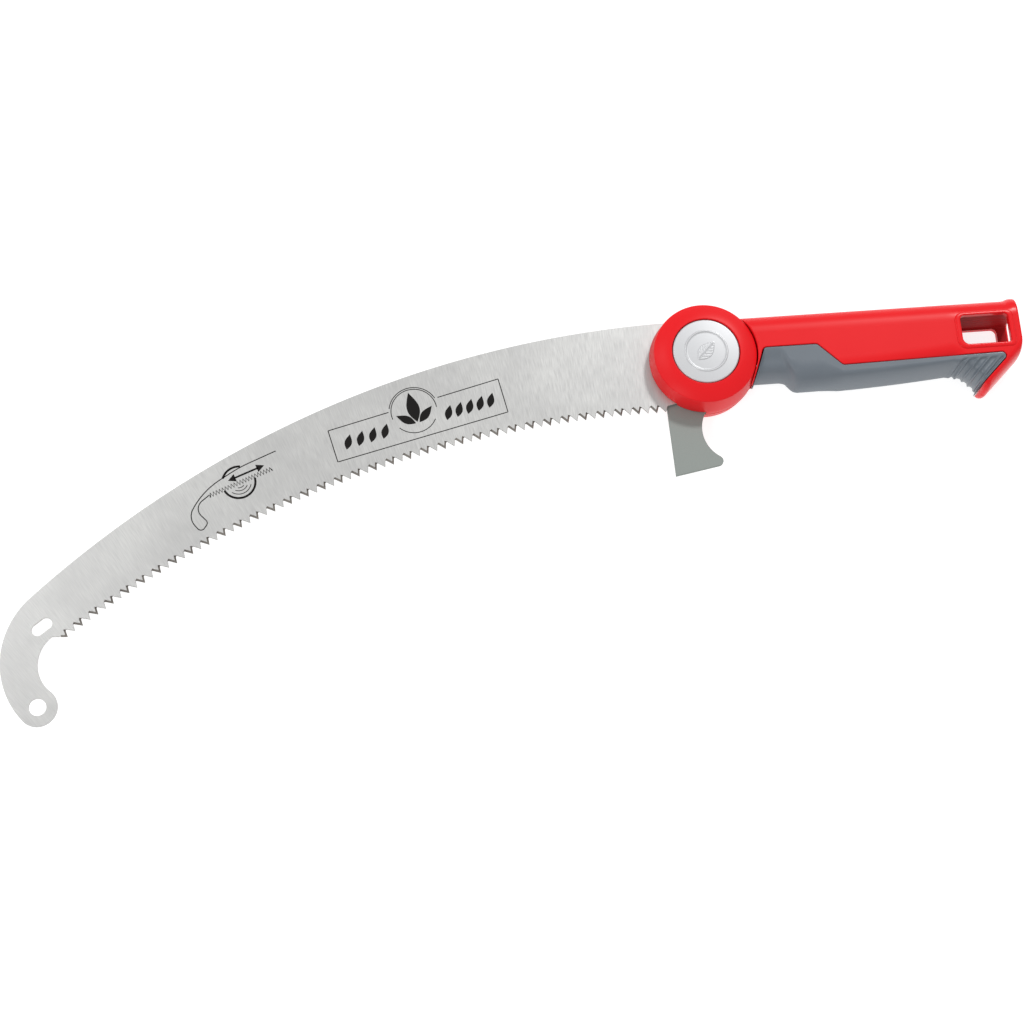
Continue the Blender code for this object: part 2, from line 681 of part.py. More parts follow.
def make_button(parts, tools, looks):
    top = BUTTON_EDGE_Z + BUTTON_DOME
    inside = min(BUTTON_INSIDE_Z, top - 1.2)
    ring_in = BUTTON_RING_RADIUS - BUTTON_RING_WIDTH / 2
    ring_out = BUTTON_RING_RADIUS + BUTTON_RING_WIDTH / 2

    def dome(radius):
        return top - BUTTON_DOME * (radius / (BUTTON_RADIUS - 0.8)) ** 2

    profile = [
        (0.0, top),
        (ring_in * 0.5, dome(ring_in * 0.5)),
        (ring_in - 0.3, dome(ring_in - 0.3)),
        (ring_in, dome(ring_in) + 0.3),
        (ring_out, dome(ring_out) + 0.3),
        (ring_out + 0.3, dome(ring_out + 0.3)),
        ((ring_out + BUTTON_RADIUS) / 2, dome((ring_out + BUTTON_RADIUS) / 2)),
        (BUTTON_RADIUS - 0.8, BUTTON_EDGE_Z),
        (BUTTON_RADIUS, BUTTON_EDGE_Z - 0.8),
        (BUTTON_RADIUS, BUTTON_EDGE_Z - BUTTON_SKIRT),
        (BUTTON_RADIUS - BUTTON_WALL, BUTTON_EDGE_Z - BUTTON_SKIRT),
        (BUTTON_RADIUS - BUTTON_WALL, inside - 0.8),
        (BUTTON_RADIUS - BUTTON_WALL - 1.0, inside),
        (0.0, inside),
    ]
    cap = turned("push_button", profile, parts, looks["silver"], closed=False)
    root = STAR_TIP_RADIUS - STAR_TOOTH
    star = prism(
        "lock_star",
        [star_outline(STAR_TIP_RADIUS, root, 0.2), circle((0, 0), TUBE_RADIUS - 1.0, ROUND)],
        STAR_BACK_Z, STAR_TOP_Z, parts, looks["zinc"],
    )
    tube = turned(
        "star_tube",
        [
            (PIVOT_BOSS_RADIUS + GAP, WEB_TOP_Z),
            (TUBE_RADIUS, WEB_TOP_Z),
            (TUBE_RADIUS, STAR_BACK_Z + 0.5),
            (TUBE_RADIUS - TUBE_WALL, STAR_BACK_Z + 0.5),
            (TUBE_RADIUS - TUBE_WALL, WEB_BACK_Z),
            (PIVOT_BOSS_RADIUS + GAP, WEB_BACK_Z),
        ],
        tools,
    )
    join(star, tube, *leg_sector(-0.1, 0.0, WEB_TOP_Z - 1, inside - GAP, "leg", tools))
    return [cap, star]


def make_spring(parts, looks):
    """A coil between the rear floor and the underside of the star's web."""
    low = REAR_FLOOR + GAP + SPRING_WIRE / 2
    high = WEB_BACK_Z - GAP - SPRING_WIRE / 2
    radius = PIVOT_BOSS_RADIUS + GAP + SPRING_WIRE / 2 + 0.3
    curve = bpy.data.curves.new("return_spring", "CURVE")
    curve.dimensions = "3D"
    curve.bevel_depth = SPRING_WIRE / 2 * MM
    curve.bevel_resolution = 2
    curve.use_fill_caps = True
    per_turn = 12
    count = SPRING_TURNS * per_turn + 1
    spline = curve.splines.new("POLY")
    spline.points.add(count - 1)
    for i, point in enumerate(spline.points):
        turn = 2 * math.pi * i / per_turn
        height = low + (high - low) * i / (count - 1)
        point.co = (
            radius * math.cos(turn) * MM, radius * math.sin(turn) * MM, height * MM, 1.0
        )
    coil = bpy.data.objects.new("coil", curve)
    bpy.context.scene.collection.objects.link(coil)
    graph = bpy.context.evaluated_depsgraph_get()
    mesh = bpy.data.meshes.new_from_object(coil.evaluated_get(graph))
    bpy.data.objects.remove(coil)
    return keep_as("return_spring", mesh, parts, looks["spring_steel"])


def make_pivot(parts, looks):
    """The bolt, its insert in the rear boss, the bush that the head turns on and its washer."""
    bore = PIVOT_BOLT_RADIUS + GAP
    insert = ring(
        "threaded_insert", bore, bore + INSERT_WALL, INSERT_BACK_Z, BOSS_TOP_Z - 0.7, parts,
        looks["brass"], steps=24,
    )
    bush = ring(
        "pivot_bush", bore, bush_outer(), BOSS_TOP_Z + GAP, BUSH_TOP_Z, parts, looks["bronze"],
        steps=32,
    )
    washer = ring(
        "pivot_washer", bore, PIVOT_WASHER_RADIUS, PIVOT_WASHER_Z,
        PIVOT_WASHER_Z + PIVOT_WASHER_THICKNESS, parts, looks["fastener"], steps=32,
    )
    top = PIVOT_HEAD_Z + PIVOT_HEAD_HEIGHT
    bolt = turned(
        "pivot_bolt",
        [
            (0.0, top - HEX_DEPTH),
            (HEX_RADIUS, top - HEX_DEPTH),
            (HEX_RADIUS, top),
            (PIVOT_HEAD_RADIUS - 0.5, top),
            (PIVOT_HEAD_RADIUS, top - 0.5),
            (PIVOT_HEAD_RADIUS, PIVOT_HEAD_Z),
            (PIVOT_BOLT_RADIUS, PIVOT_HEAD_Z),
            (PIVOT_BOLT_RADIUS, PIVOT_BOLT_TIP_Z + 0.6),
            (PIVOT_BOLT_RADIUS - 0.5, PIVOT_BOLT_TIP_Z),
            (0.0, PIVOT_BOLT_TIP_Z),
        ],
        parts, looks["fastener"], steps=24, closed=False,
    )
    lock_root = STAR_TIP_RADIUS + LOCK_PLAY
    lock_tip = STAR_TIP_RADIUS - STAR_TOOTH + LOCK_PLAY
    lock = prism(
        "lock_ring",
        [circle((0, 0), LOCK_OUTER_RADIUS, ROUND), lock_ring_teeth(lock_root, lock_tip)],
        LOCK_BACK_Z, LOCK_TOP_Z, parts, looks["zinc"],
    )
    wear = ring(
        "wear_washer", RING_WALL_RADIUS, RING_WALL_OUTER, WASHER_BACK_Z, WASHER_FRONT_Z, parts,
        looks["acetal"],
    )
    return [insert, bush, washer, bolt, lock, wear]


def lock_ring_teeth(root, tip):
    """The spaces that the star's teeth slide into, a clearance wider than those teeth."""
    points = []
    step = 360.0 / INDEX_STEPS
    for i in range(INDEX_STEPS):
        middle = i * step
        for radius, offset in ((tip, -0.36), (root, -0.19), (root, 0.19), (tip, 0.36)):
            points.append(polar((0.0, 0.0), radius, middle + offset * step))
    return points


# ---- handle ----------------------------------------------------------------------------------
def smooth(value):
    value = min(max(value, 0.0), 1.0)
    return value * value * (3.0 - 2.0 * value)


def handle_bottom(x):
    """Underside of the handle: neck, belly under the fingers, waist, then the tail's outer edge."""
    if x <= BELLY_X:
        return NECK_BOTTOM + (BELLY_BOTTOM - NECK_BOTTOM) * smooth(
            (x - NECK_X) / (BELLY_X - NECK_X)
        )
    if x <= WAIST_X:
        along = (x - BELLY_X) / (WAIST_X - BELLY_X)
        return BELLY_BOTTOM + (WAIST_BOTTOM - BELLY_BOTTOM) * along**2
    left = TAIL_END.x - TAIL_RADIUS
    if x < left:
        along = (x - WAIST_X) / (left - WAIST_X)
        return WAIST_BOTTOM + (TAIL_END.y + 2.0 - WAIST_BOTTOM) * along**1.3
    slope = math.radians(TAIL_SLOPE)
    if x < TAIL_END.x + TAIL_RADIUS * math.sin(slope):
        return TAIL_END.y - math.sqrt(max(TAIL_RADIUS**2 - (x - TAIL_END.x) ** 2, 0.0))
    heel_x = GRIP_END_X - TAIL_HEEL_RADIUS
    if x < heel_x + TAIL_HEEL_RADIUS * math.sin(slope):
        return tail_edge(x)
    heel_y = tail_edge(heel_x) + TAIL_HEEL_RADIUS / math.cos(slope)
    return heel_y - math.sqrt(max(TAIL_HEEL_RADIUS**2 - (x - heel_x) ** 2, 0.0))


def tail_edge(x):
    """Height of the tail's straight outer edge, a radius away from the line of its middle."""
    slope = math.radians(TAIL_SLOPE)
    return TAIL_END.y - TAIL_RADIUS / math.cos(slope) + (x - TAIL_END.x) * math.tan(slope)


def core_bottom(x):
    """Underside of the red core: it leaves the tail's corner to the grey rubber."""
    if x <= WAIST_X:
        return handle_bottom(x)
    along = smooth((x - WAIST_X) / (CORE_END_X - WAIST_X))
    return WAIST_BOTTOM + (SPLIT_LOW - GRIP_WALL + 1.0 - WAIST_BOTTOM) * along


def handle_section(x, inset, bottom=None, top_lift=0.0):
    """A ring of points across the handle: flat sides between a rounded top and bottom."""
    top = HANDLE_TOP - inset + top_lift
    bottom = (handle_bottom(x) if bottom is None else bottom) + inset
    half = HANDLE_MID_Z - inset
    tail = smooth((x - WAIST_X) / (TAIL_END.x - WAIST_X))
    low_crown = HANDLE_CROWN + (TAIL_CROWN - HANDLE_CROWN) * tail
    crowns = [
        min(crown - inset * 0.5, (top - bottom) / 2 - 0.2) for crown in (HANDLE_CROWN, low_crown)
    ]
    points = []
    steps = 6
    for centre, crown, sign in (
        (top - crowns[0], crowns[0], 1.0), (bottom + crowns[1], crowns[1], -1.0)
    ):
        for i in range(2 * steps + 1):
            turn = math.pi * i / (2 * steps)
            across, up = math.cos(turn), math.sin(turn)
            across = math.copysign(abs(across) ** (2 / SECTION_POWER), across)
            up = up ** (2 / SECTION_POWER)
            points.append(
                (x, centre + sign * crown * up, HANDLE_MID_Z + sign * half * across)
            )
    return points


def stations(start, end):
    """Places along the handle that follow its underside closely."""
    left = TAIL_END.x - TAIL_RADIUS
    marks = [start, NECK_X]
    marks += [NECK_X + (BELLY_X - NECK_X) * t for t in (0.25, 0.45, 0.6, 0.8, 1.0)]
    marks += [BELLY_X + (WAIST_X - BELLY_X) * t for t in (0.2, 0.4, 0.6, 0.8, 1.0)]
    marks += [WAIST_X + (left - WAIST_X) * t for t in (0.25, 0.5, 0.75, 0.99)]
    marks += [TAIL_END.x + TAIL_RADIUS * t for t in (-0.99, -0.8, -0.4, 0.0, 0.65)]
    marks += [GRIP_END_X - TAIL_HEEL_RADIUS * t for t in (1 - 0.68, 0.15, 0.04)]
    marks += [end]
    return sorted({round(m, 4) for m in marks if start <= m <= end})


def split_outline(shift):
    """The grey grip seen from the front. A positive shift makes it larger all round."""
    along = polar((0.0, 0.0), 1.0, TAIL_SLOPE)
    foot = TAIL_END + polar((0.0, 0.0), TAIL_RADIUS, TAIL_SLOPE + 90.0)
    right = foot + along * ((SPLIT_LOW + 1.6 - foot.y) / along.y)
    below = foot - along * 14.0
    left = HUB_RADIUS + SPLIT_FROM_HUB
    points = [
        (left - 24.0, BELLY_BOTTOM - 22.0),
        below,
        right,
        (HUB_RADIUS + SPLIT_STEP_FROM_HUB[1], SPLIT_LOW),
        (HUB_RADIUS + SPLIT_STEP_FROM_HUB[0], SPLIT_HIGH),
        (left, SPLIT_HIGH),
        (left - 9.0, NECK_BOTTOM - 6.0),
    ]
    return grown(rounded(points, [0, 0, 2.5, 3.0, 3.0, 3.0, 0]), shift)


def make_handle(parts, tools, looks):
    outer = loft(
        "handle_body",
        [handle_section(x, 0.0) for x in stations(BODY_START_X, GRIP_END_X)], tools,
    )
    lip_low = GRIP_END_X - END_LIP_LENGTH
    lip = loft(
        "end_lip",
        [
            handle_section(x, 0.0, bottom=SOCKET_BOTTOM, top_lift=END_LIP)
            for x in (lip_low, GRIP_END_X)
        ],
        tools,
    )
    seat = turned(
        "head_space",
        [
            *seat_profile(),
            (HUB_RADIUS - DISC_OVERLAP, REAR_WALL_TOP),
            (hub_radius_at(0) - DISC_OVERLAP, -1.0),
            (0.0, -1.0),
        ],
        tools, closed=False,
    )
    grip = make_grip(outer, parts, tools, looks)
    body = outer
    cut(body, prism("grip_region", [split_outline(GAP / 2)], -5, HANDLE_THICKNESS + 5, tools))
    join(body, make_core("core", GRIP_WALL, tools), lip)
    cut(body, seat)
    hollow = loft(
        "hollow",
        [
            handle_section(x, SHELL_WALL, bottom=handle_bottom(x) + GRIP_WALL)
            for x in stations(HOLLOW_START_X, HOLLOW_END_X)
        ],
        tools,
    )
    bosses = [
        cylinder(
            f"boss_{i + 1}", SCREW_RADIUS + GAP + BOSS_WALL, -1, HANDLE_THICKNESS + 1, tools,
            at=spot, steps=12,
        )
        for i, spot in enumerate(BOSS_SPOTS)
    ]
    cut(hollow, *bosses)
    socket = box(
        "pole_socket",
        (SOCKET_STOP_X, SOCKET_BOTTOM, SOCKET_WALL),
        (GRIP_END_X + 5, SOCKET_TOP, HANDLE_THICKNESS - SOCKET_WALL),
        tools, rounding=1.5,
    )
    x1 = GRIP_END_X - WINDOW_FROM_END
    x0 = x1 - WINDOW_LENGTH
    y0, y1 = SOCKET_BOTTOM + WINDOW_SILL, SOCKET_TOP - WINDOW_SILL
    window = prism(
        "button_window",
        [rounded([(x0, y0), (x1, y0), (x1, y1), (x0, y1)], [4.0, 1.5, WINDOW_ROUND, WINDOW_ROUND])],
        -5, HANDLE_THICKNESS + 5, tools,
    )
    cut(body, hollow, socket, window)
    rear, front = split_in_halves(body, parts, tools, looks)
    disc = turned("rear_disc", rear_disc_profile(), tools, closed=False)
    join(rear, disc)
    screws = fit_handle_screws(rear, front, parts, tools, looks)
    return [rear, front, grip, *screws]


def make_core(name, inset, tools):
    """The part of the red shells that the grey skin covers, an inset below the outside."""
    places = stations(BODY_START_X, WAIST_X)
    places += [WAIST_X + (CORE_END_X - WAIST_X) * t for t in (0.25, 0.5, 0.75, 1.0)]
    return loft(name, [handle_section(x, inset, core_bottom(x)) for x in places], tools)


def make_grip(outer, parts, tools, looks):
    """The soft grey skin over the underside of the handle."""
    region = prism(
        "grip_space", [split_outline(-GAP / 2)], -5, HANDLE_THICKNESS + 5, tools
    )
    grip = keep_as("soft_grip", outer.data.copy(), parts, looks["grey"])
    combine(grip, region, "INTERSECT")
    cut(grip, make_core("grip_inside", GRIP_WALL - GAP, tools))
    swing = turned(
        "head_swing", [*seat_profile(), (SEAT_RADIUS, -5.0), (0.0, -5.0)], tools, closed=False
    )
    return cut(grip, swing)


def seat_profile():
    """The room in which the drafted head turns, from above the handle down to the rear disc."""
    narrow = hub_radius_at(SHOULDER_Z) + SEAT_GAP
    return [
        (0.0, HANDLE_THICKNESS + 8),
        (narrow, HANDLE_THICKNESS + 8),
        (narrow, SHOULDER_Z),
        (SEAT_RADIUS, BLADE_FRONT_Z),
        (SEAT_RADIUS, REAR_WALL_TOP),
    ]


def rear_disc_profile():
    """The round rear half of the hub, with its pivot boss, index seat and bearing wall."""
    wall = HUB_RADIUS - HUB_WALL
    bore = PIVOT_BOLT_RADIUS + GAP + INSERT_WALL + GAP
    foot = hub_radius_at(REAR_EDGE)
    return [
        (0.0, BORE_FLOOR_Z),
        (bore, BORE_FLOOR_Z),
        (bore, BOSS_TOP_Z),
        (PIVOT_BOSS_RADIUS, BOSS_TOP_Z),
        (PIVOT_BOSS_RADIUS, REAR_FLOOR),
        (STAR_SPACE_RADIUS, REAR_FLOOR),
        (STAR_SPACE_RADIUS, LOCK_BACK_Z - GAP),
        (RING_WALL_RADIUS, LOCK_BACK_Z - GAP),
        (RING_WALL_RADIUS, RING_WALL_TOP_Z),
        (RING_WALL_OUTER, RING_WALL_TOP_Z),
        (RING_WALL_OUTER, REAR_FLOOR),
        (wall - HUB_DRAFT, REAR_FLOOR),
        (wall, REAR_WALL_TOP),
        (HUB_RADIUS, REAR_WALL_TOP),
        (foot, REAR_EDGE),
        (foot - REAR_EDGE * 0.3, REAR_EDGE * 0.3),
        (foot - REAR_EDGE, 0.0),
        (0.0, 0.0),
    ]


def split_in_halves(body, parts, tools, looks):
    """Front and rear shells, parted in the middle of the handle's thickness."""
    big = 2 * GRIP_END_X
    halves = []
    for name, low, high in (
        ("rear_handle_shell", -20.0, HANDLE_MID_Z - GAP / 2),
        ("front_handle_shell", HANDLE_MID_Z + GAP / 2, HANDLE_THICKNESS + 20.0),
    ):
        slab = box(f"{name}_side", (-big, -big, low), (big, big, high), tools)
        half = keep_as(name, body.data.copy(), parts, looks["red"])
        half.data.materials.clear()
        half.data.materials.append(looks["red"])
        halves.append(combine(half, slab, "INTERSECT"))
    return halves


def fit_handle_screws(rear, front, parts, tools, looks):
    """Four screws from behind, their heads sunk in the rear shell: two in bosses, two in the roof."""
    made = []
    seats = [(spot, BOSS_SCREW_SEAT) for spot in BOSS_SPOTS]
    seats += [(spot, ROOF_SCREW_SEAT) for spot in ROOF_SPOTS]
    for i, (spot, seat) in enumerate(seats):
        tip = HANDLE_THICKNESS - seat - SCREW_COVER
        shank = cylinder(
            f"shank_hole_{i + 1}", SCREW_RADIUS + GAP, seat, tip + GAP, tools, at=spot,
            steps=SMALL_ROUND,
        )
        well = cylinder(
            f"head_well_{i + 1}", SCREW_HEAD_RADIUS + GAP, -1.0,
            seat + SCREW_HEAD_HEIGHT + GAP, tools, at=spot, steps=SMALL_ROUND,
        )
        cut(rear, shank, well)
        cut(front, shank)
        made.append(screw(f"handle_screw_{i + 1}", spot, seat, tip, parts, looks["fastener"]))
    return made


# ---- assembly --------------------------------------------------------------------------------
def make_looks():
    return {
        "red": material("red_plastic", (0.78, 0.02, 0.022), 0.35),
        "grey": material("grey_soft_rubber", (0.13, 0.16, 0.19), 0.6),
        "blade_steel": material("brushed_blade_steel", (0.62, 0.62, 0.61), 0.35, 1.0),
        "knife_steel": material("dark_knife_steel", (0.27, 0.28, 0.27), 0.5, 0.9),
        "silver": material("silver_button", (0.72, 0.72, 0.73), 0.3, 0.6),
        "zinc": material("zinc_casting", (0.45, 0.46, 0.47), 0.45, 1.0),
        "fastener": material("plated_steel", (0.55, 0.56, 0.57), 0.3, 1.0),
        "spring_steel": material("spring_steel", (0.3, 0.3, 0.31), 0.35, 1.0),
        "brass": material("brass", (0.6, 0.45, 0.16), 0.3, 1.0),
        "bronze": material("sintered_bronze", (0.42, 0.28, 0.12), 0.5, 1.0),
        "acetal": material("white_acetal", (0.75, 0.75, 0.72), 0.4),
    }


def empty(name, parts, parent=None):
    axis = bpy.data.objects.new(name, None)
    parts.objects.link(axis)
    axis.parent = parent
    return axis


def main():
    clear_scene()
    parts = new_collection("pruning_saw_head")
    tools = new_collection("cutters")
    looks = make_looks()
    head_axis = empty("head_tilt_axis", parts)
    button_axis = empty("button_axis", parts, head_axis)
    for obj in make_head(parts, tools, looks):
        obj.parent = head_axis
    for obj in make_button(parts, tools, looks):
        obj.parent = button_axis
    make_spring(parts, looks)
    make_pivot(parts, looks)
    make_handle(parts, tools, looks)
    for obj in parts.objects:
        if obj.type == "MESH":
            shade(obj)


main()
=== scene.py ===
"""The looks of a curved pruning-saw head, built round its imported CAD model.

Lengths are millimetres until a mesh is made. The origin is on the hub axis at the flat rear face,
+Z runs out through the push button and +X along the hand-grip to its open end.
"""

import math

import bmesh
import bpy
import numpy as np
from mathutils import Matrix, Vector
from mathutils.geometry import tessellate_polygon


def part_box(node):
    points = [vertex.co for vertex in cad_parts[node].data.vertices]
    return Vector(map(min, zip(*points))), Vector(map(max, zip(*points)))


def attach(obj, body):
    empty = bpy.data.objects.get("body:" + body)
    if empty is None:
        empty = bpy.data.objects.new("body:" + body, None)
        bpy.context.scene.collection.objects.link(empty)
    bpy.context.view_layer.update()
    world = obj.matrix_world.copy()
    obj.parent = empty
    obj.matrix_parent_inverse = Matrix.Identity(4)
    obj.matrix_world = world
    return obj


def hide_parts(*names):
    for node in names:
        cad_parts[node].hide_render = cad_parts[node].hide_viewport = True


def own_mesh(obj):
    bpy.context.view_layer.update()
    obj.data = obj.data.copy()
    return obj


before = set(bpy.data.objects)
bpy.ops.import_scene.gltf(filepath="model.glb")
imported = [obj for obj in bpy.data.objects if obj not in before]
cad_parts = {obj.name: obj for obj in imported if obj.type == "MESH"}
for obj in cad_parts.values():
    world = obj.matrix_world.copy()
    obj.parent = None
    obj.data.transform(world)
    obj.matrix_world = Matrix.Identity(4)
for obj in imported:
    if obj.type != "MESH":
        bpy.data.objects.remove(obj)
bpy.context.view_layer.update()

MM = 0.001


def cad(node):
    """Lowest and highest corner of a CAD node in millimetres."""
    low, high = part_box(node)
    return np.array(low) / MM, np.array(high) / MM


# ---- sizes taken from the frame --------------------------------------------------------------
BLADE_BACK, BLADE_FRONT = cad("saw_blade")[0][2], cad("saw_blade")[1][2]
KNIFE_BACK, KNIFE_FRONT = cad("bark_knife")[0][2], cad("bark_knife")[1][2]
SKIRT_BACK, RIM_Z = cad("head_cover")[0][2], cad("head_cover")[1][2]
HUB_RADIUS = cad("head_cover")[1][0]
BUTTON_BACK, BUTTON_TOP = cad("push_button")[0][2], cad("push_button")[1][2]
BUTTON_RADIUS = cad("push_button")[1][0]
END_X = cad("rear_handle_shell")[1][0]
THICKNESS = cad("front_handle_shell")[1][2]
MID_Z = THICKNESS / 2
PARTING = cad("front_handle_shell")[0][2] - MID_Z  # half the gap between the two shells
DISC_TOP = SKIRT_BACK - 0.3  # the rear disc ends a gap below the head's skirt

# ---- blade and knife -------------------------------------------------------------------------
CUT_LENGTH = 370.0
TOOTH_PITCH = 5.3
TOOTH_DEPTH = 3.8
TOOTH_LEAN = 0.7
GULLET_FLAT = 0.12  # share of the pitch
BEVEL_WIDTH = 1.0  # ground facet along a tooth's two edges
BEVEL_DEPTH = 1.0
EDGE_BREAK = 0.15  # chamfer along every other edge of the sheet
TOOTH_RADIUS = 607.0
TOOTH_CENTRE = np.array([-31.8, -638.0])
HEEL_ANGLE = 89.4
SPINE_RADIUS = 602.8
SPINE_CENTRE = np.array([-12.0, -577.6])
HOOK_RADIUS = 50.1
HOOK_TURN = 90.4
NOSE_RADIUS = 11.2
NOSE_HOLE = 4.9
HOLLOW_RADIUS = 20.0
HOLLOW_TURN = 81.3
HOLLOW_SWEEP = 104.0
SLOT_RADIUS = 3.4
SLOT_LENGTH = 6.0
SLOT_INSET = (4.8, 13.7)
ROOT_RADIUS = SPINE_RADIUS - float(np.hypot(*SPINE_CENTRE))
ROOT_HEEL_ANGLE = -109.0
CORE_BORE = 13.2
KNIFE_REACH = 70.2
KNIFE_WIDTH = 26.7
KNIFE_END_SLOPE = 9.7
KNIFE_BEAK = 3.2
KNIFE_THROAT = 20.0
KNIFE_THROAT_TURN = 56.7
KNIFE_THROAT_SWEEP = 104.0
KNIFE_ROOT_START = -68.0
KNIFE_LEAN = 1.3

# ---- hub and button --------------------------------------------------------------------------
HUB_DRAFT = 1.7
HUB_WALL = 2.6
SHOULDER_Z = 28.0
WELL_FLOOR = 23.0
WELL_PLAY = 0.45
BUTTON_RING = 12.4
BUTTON_DOME = 0.9
BUTTON_RING_RISE = 0.36
BUTTON_DISH = 0.16
LEAF_LENGTH = 15.2
LEAF_HALF = 4.6
LEAF_RISE = 0.34
VEIN_PITCH = 2.3
BUTTON_WALL = 1.8
BUTTON_ROOF = 1.2
SPRING_WIRE = 1.2
SPRING_TURNS = 5
DISC_EDGE = 1.6
DISC_FLOOR = 2.6
RING_WALL, RING_BORE, RING_SEAT_BORE = 24.0, 19.8, 18.6
RING_TOP, RING_SEAT = 8.5, 6.4
PIVOT_WALL, PIVOT_BORE = 6.3, 4.9
PIVOT_TOP, PIVOT_FLOOR = 20.2, 6.0
ON_AXIS = 0.001  # a profile's end, near enough to the axis to close when points are welded
CLEAR_Z = 45.0  # a height well above every piece
RIM_ROUND, SHOULDER_ROUND, SKIRT_ROUND = 0.5, 1.1, 0.3
CROWN_SWELL = 0.55
WELL_THICKNESS = 2.5
SHAFT_BORE = 6.0

# ---- hand-grip -------------------------------------------------------------------------------
TOP_Y = 23.5
TOP_CROWN = 13.0
LOW_CROWN = 13.0
TAIL_CROWN = 7.0
POWER = 2.3
NECK_Y = -18.4
BELLY_Y = -22.9
WAIST_Y = -17.8
NECK_X = HUB_RADIUS + 11.8
BELLY_X = NECK_X + 12.0
WAIST_X = END_X - 43.0
TAIL_HALF = 2.6
TAIL_END = np.array([END_X - 24.3, -31.1])
TAIL_SLOPE = 42.9
HEEL_RADIUS = 8.0
LIP_RISE = 1.2
LIP_START = END_X - 7.0
SEAT_GAP = 0.6
SPLIT_HIGH = 0.6
SPLIT_LOW = -13.6
SEAM = 0.2  # half the gap between red and grey
SEAM_ROUND = 0.5
END_ROUND = 1.0
# Shares of the way from the hub's seat to the grey, and from the grey to the open end.
NEAR_HUB = np.array([0, 0.012, 0.03, 0.06, 0.1, 0.17, 0.28, 0.42, 0.6, 0.8])
TO_END = np.array([0, 0.02, 0.06, 0.15, 0.3, 0.45, 0.6, 0.72, 0.82, 0.89, 0.93, 0.96, 0.98, 0.99, 1])
STEEPEST = 1.4  # slope of the seam past which the rows beside it spread no further
SOCKET_Y = (-7.4, 13.4)
SOCKET_X = END_X - 69.0
SOCKET_WALL = 3.2
SOCKET_CORNER = 1.5
SOCKET_MOUTH = ((-1.2, 0.0), (-0.5, 0.25), (0.2, 0.9), (4.0, 2.0))  # past the end, and growth
WINDOW_X = (END_X - 36.0, END_X - 7.0)
WINDOW_Y = (-6.2, 12.2)
WINDOW_CORNERS = (4.0, 1.5, 3.0, 3.0)  # from the lower left, anticlockwise
FRAME_X = (WINDOW_X[0] - 3.7, WINDOW_X[1] + 3.4)
FRAME_Y = (WINDOW_Y[0] - 2.9, WINDOW_Y[1] + 2.0)
FRAME_CORNERS = (5.5, 3.5, 3.5, 5.0)
FRAME_RISE = 0.7 / 0.72
FRAME_LAP = 0.003  # share by which the frame's inner edge stands inside the window's
FRAME_PROFILE = (  # share of the band's width, and height over the handle before FRAME_RISE
    (0.015, -1.2), (0.0, -0.2), (0.02, 0.2), (0.08, 0.52), (0.18, 0.68), (0.3, 0.72),
    (0.6, 0.72), (0.74, 0.68), (0.86, 0.5), (0.94, 0.2), (0.97, -0.3), (0.9, -1.2),
)
RIB_PITCH = 4.35
RIB_DEPTH = 1.1
RIB_FIRST = 121.0  # along the falling diagonal
RIB_COUNT = 4
RIB_TOP = -14.3
RIB_SHARPNESS = 2.5
NECK_DIP = 2.2
NECK_STEP_X, NECK_STEP_LEAN, NECK_STEP_WIDTH = 42.5, 0.36, 4.5
NECK_SPREAD = 25.0  # length over which the grip's columns turn upright from the neck's slant
TIP_SHIFT = np.array([-0.5, 0.1])  # from the seam's end to the grip's
TIP_CROWN = 5.0
RELIEF_EDGE = (0.4, 1.2)  # no relief this near the seam, and full relief that much further on


SHARPEST = 0.35  # cosine of half the sharpest corner that an inset follows fully

# ---- prints ----------------------------------------------------------------------------------
INK = (BLADE_FRONT + 0.002, BLADE_FRONT + 0.022)  # underside and top of the ink
PRINT_CORNERS = np.array([(-224.8, -28.2), (-220.3, -47.7), (-118.7, -24.1), (-122.8, -3.1)])
PRINT_OPENING = np.array([[0.355], [0.64]])  # shares of the upper side where the frame stops
PRINT_LINE = 0.55
EMBLEM_AT = np.array([-173.8, -19.5])
EMBLEM_LINE = 0.5
EMBLEM_RINGS = ((14.6, 16, 158), (13.5, -6, 186), (13.5, 214, 322))  # radius, start and end
EMBLEM_LEAVES = ((90, 19.0), (38, 12.5), (142, 12.5))  # direction and length
SMALL_LEAVES = (-43, -35.5, -28, -20.5, 18.5, 25, 31.5, 38, 44.5)
SMALL_LEAF = (9.6, 4.6, 62)  # length, width and direction
PICTOGRAM_AT = np.array([-278.2, -55.8])
PICTOGRAM_TURN = 20.5
PICTOGRAM_SAW = (
    (27, 8.6), (4, 8.2), (-22, 3.6), (-35, -8), (-31.5, -19), (-25.5, -15), (-30, -3.5), (-18.5, 0)
)
PICTOGRAM_ROUNDS = (80.0, 45.0, 9.0, 2.4, 2.4, 6.0)
PICTOGRAM_TEETH = (43, 0.93, 1.25)  # corners, step and height
LOG_RADIUS = 9.6
BARK = ((62, 142), (188, 352))  # start and end of each bark line
LOG_RINGS = ((7.2, 34), (5.2, 44), (3.4, 56))  # radius, and the angle left out at each end
ARROW = (-0.8, 12.8, 3.4)  # where the two heads stand, and their height
ARROW_HEAD = (4.6, 2.4)  # length and half width

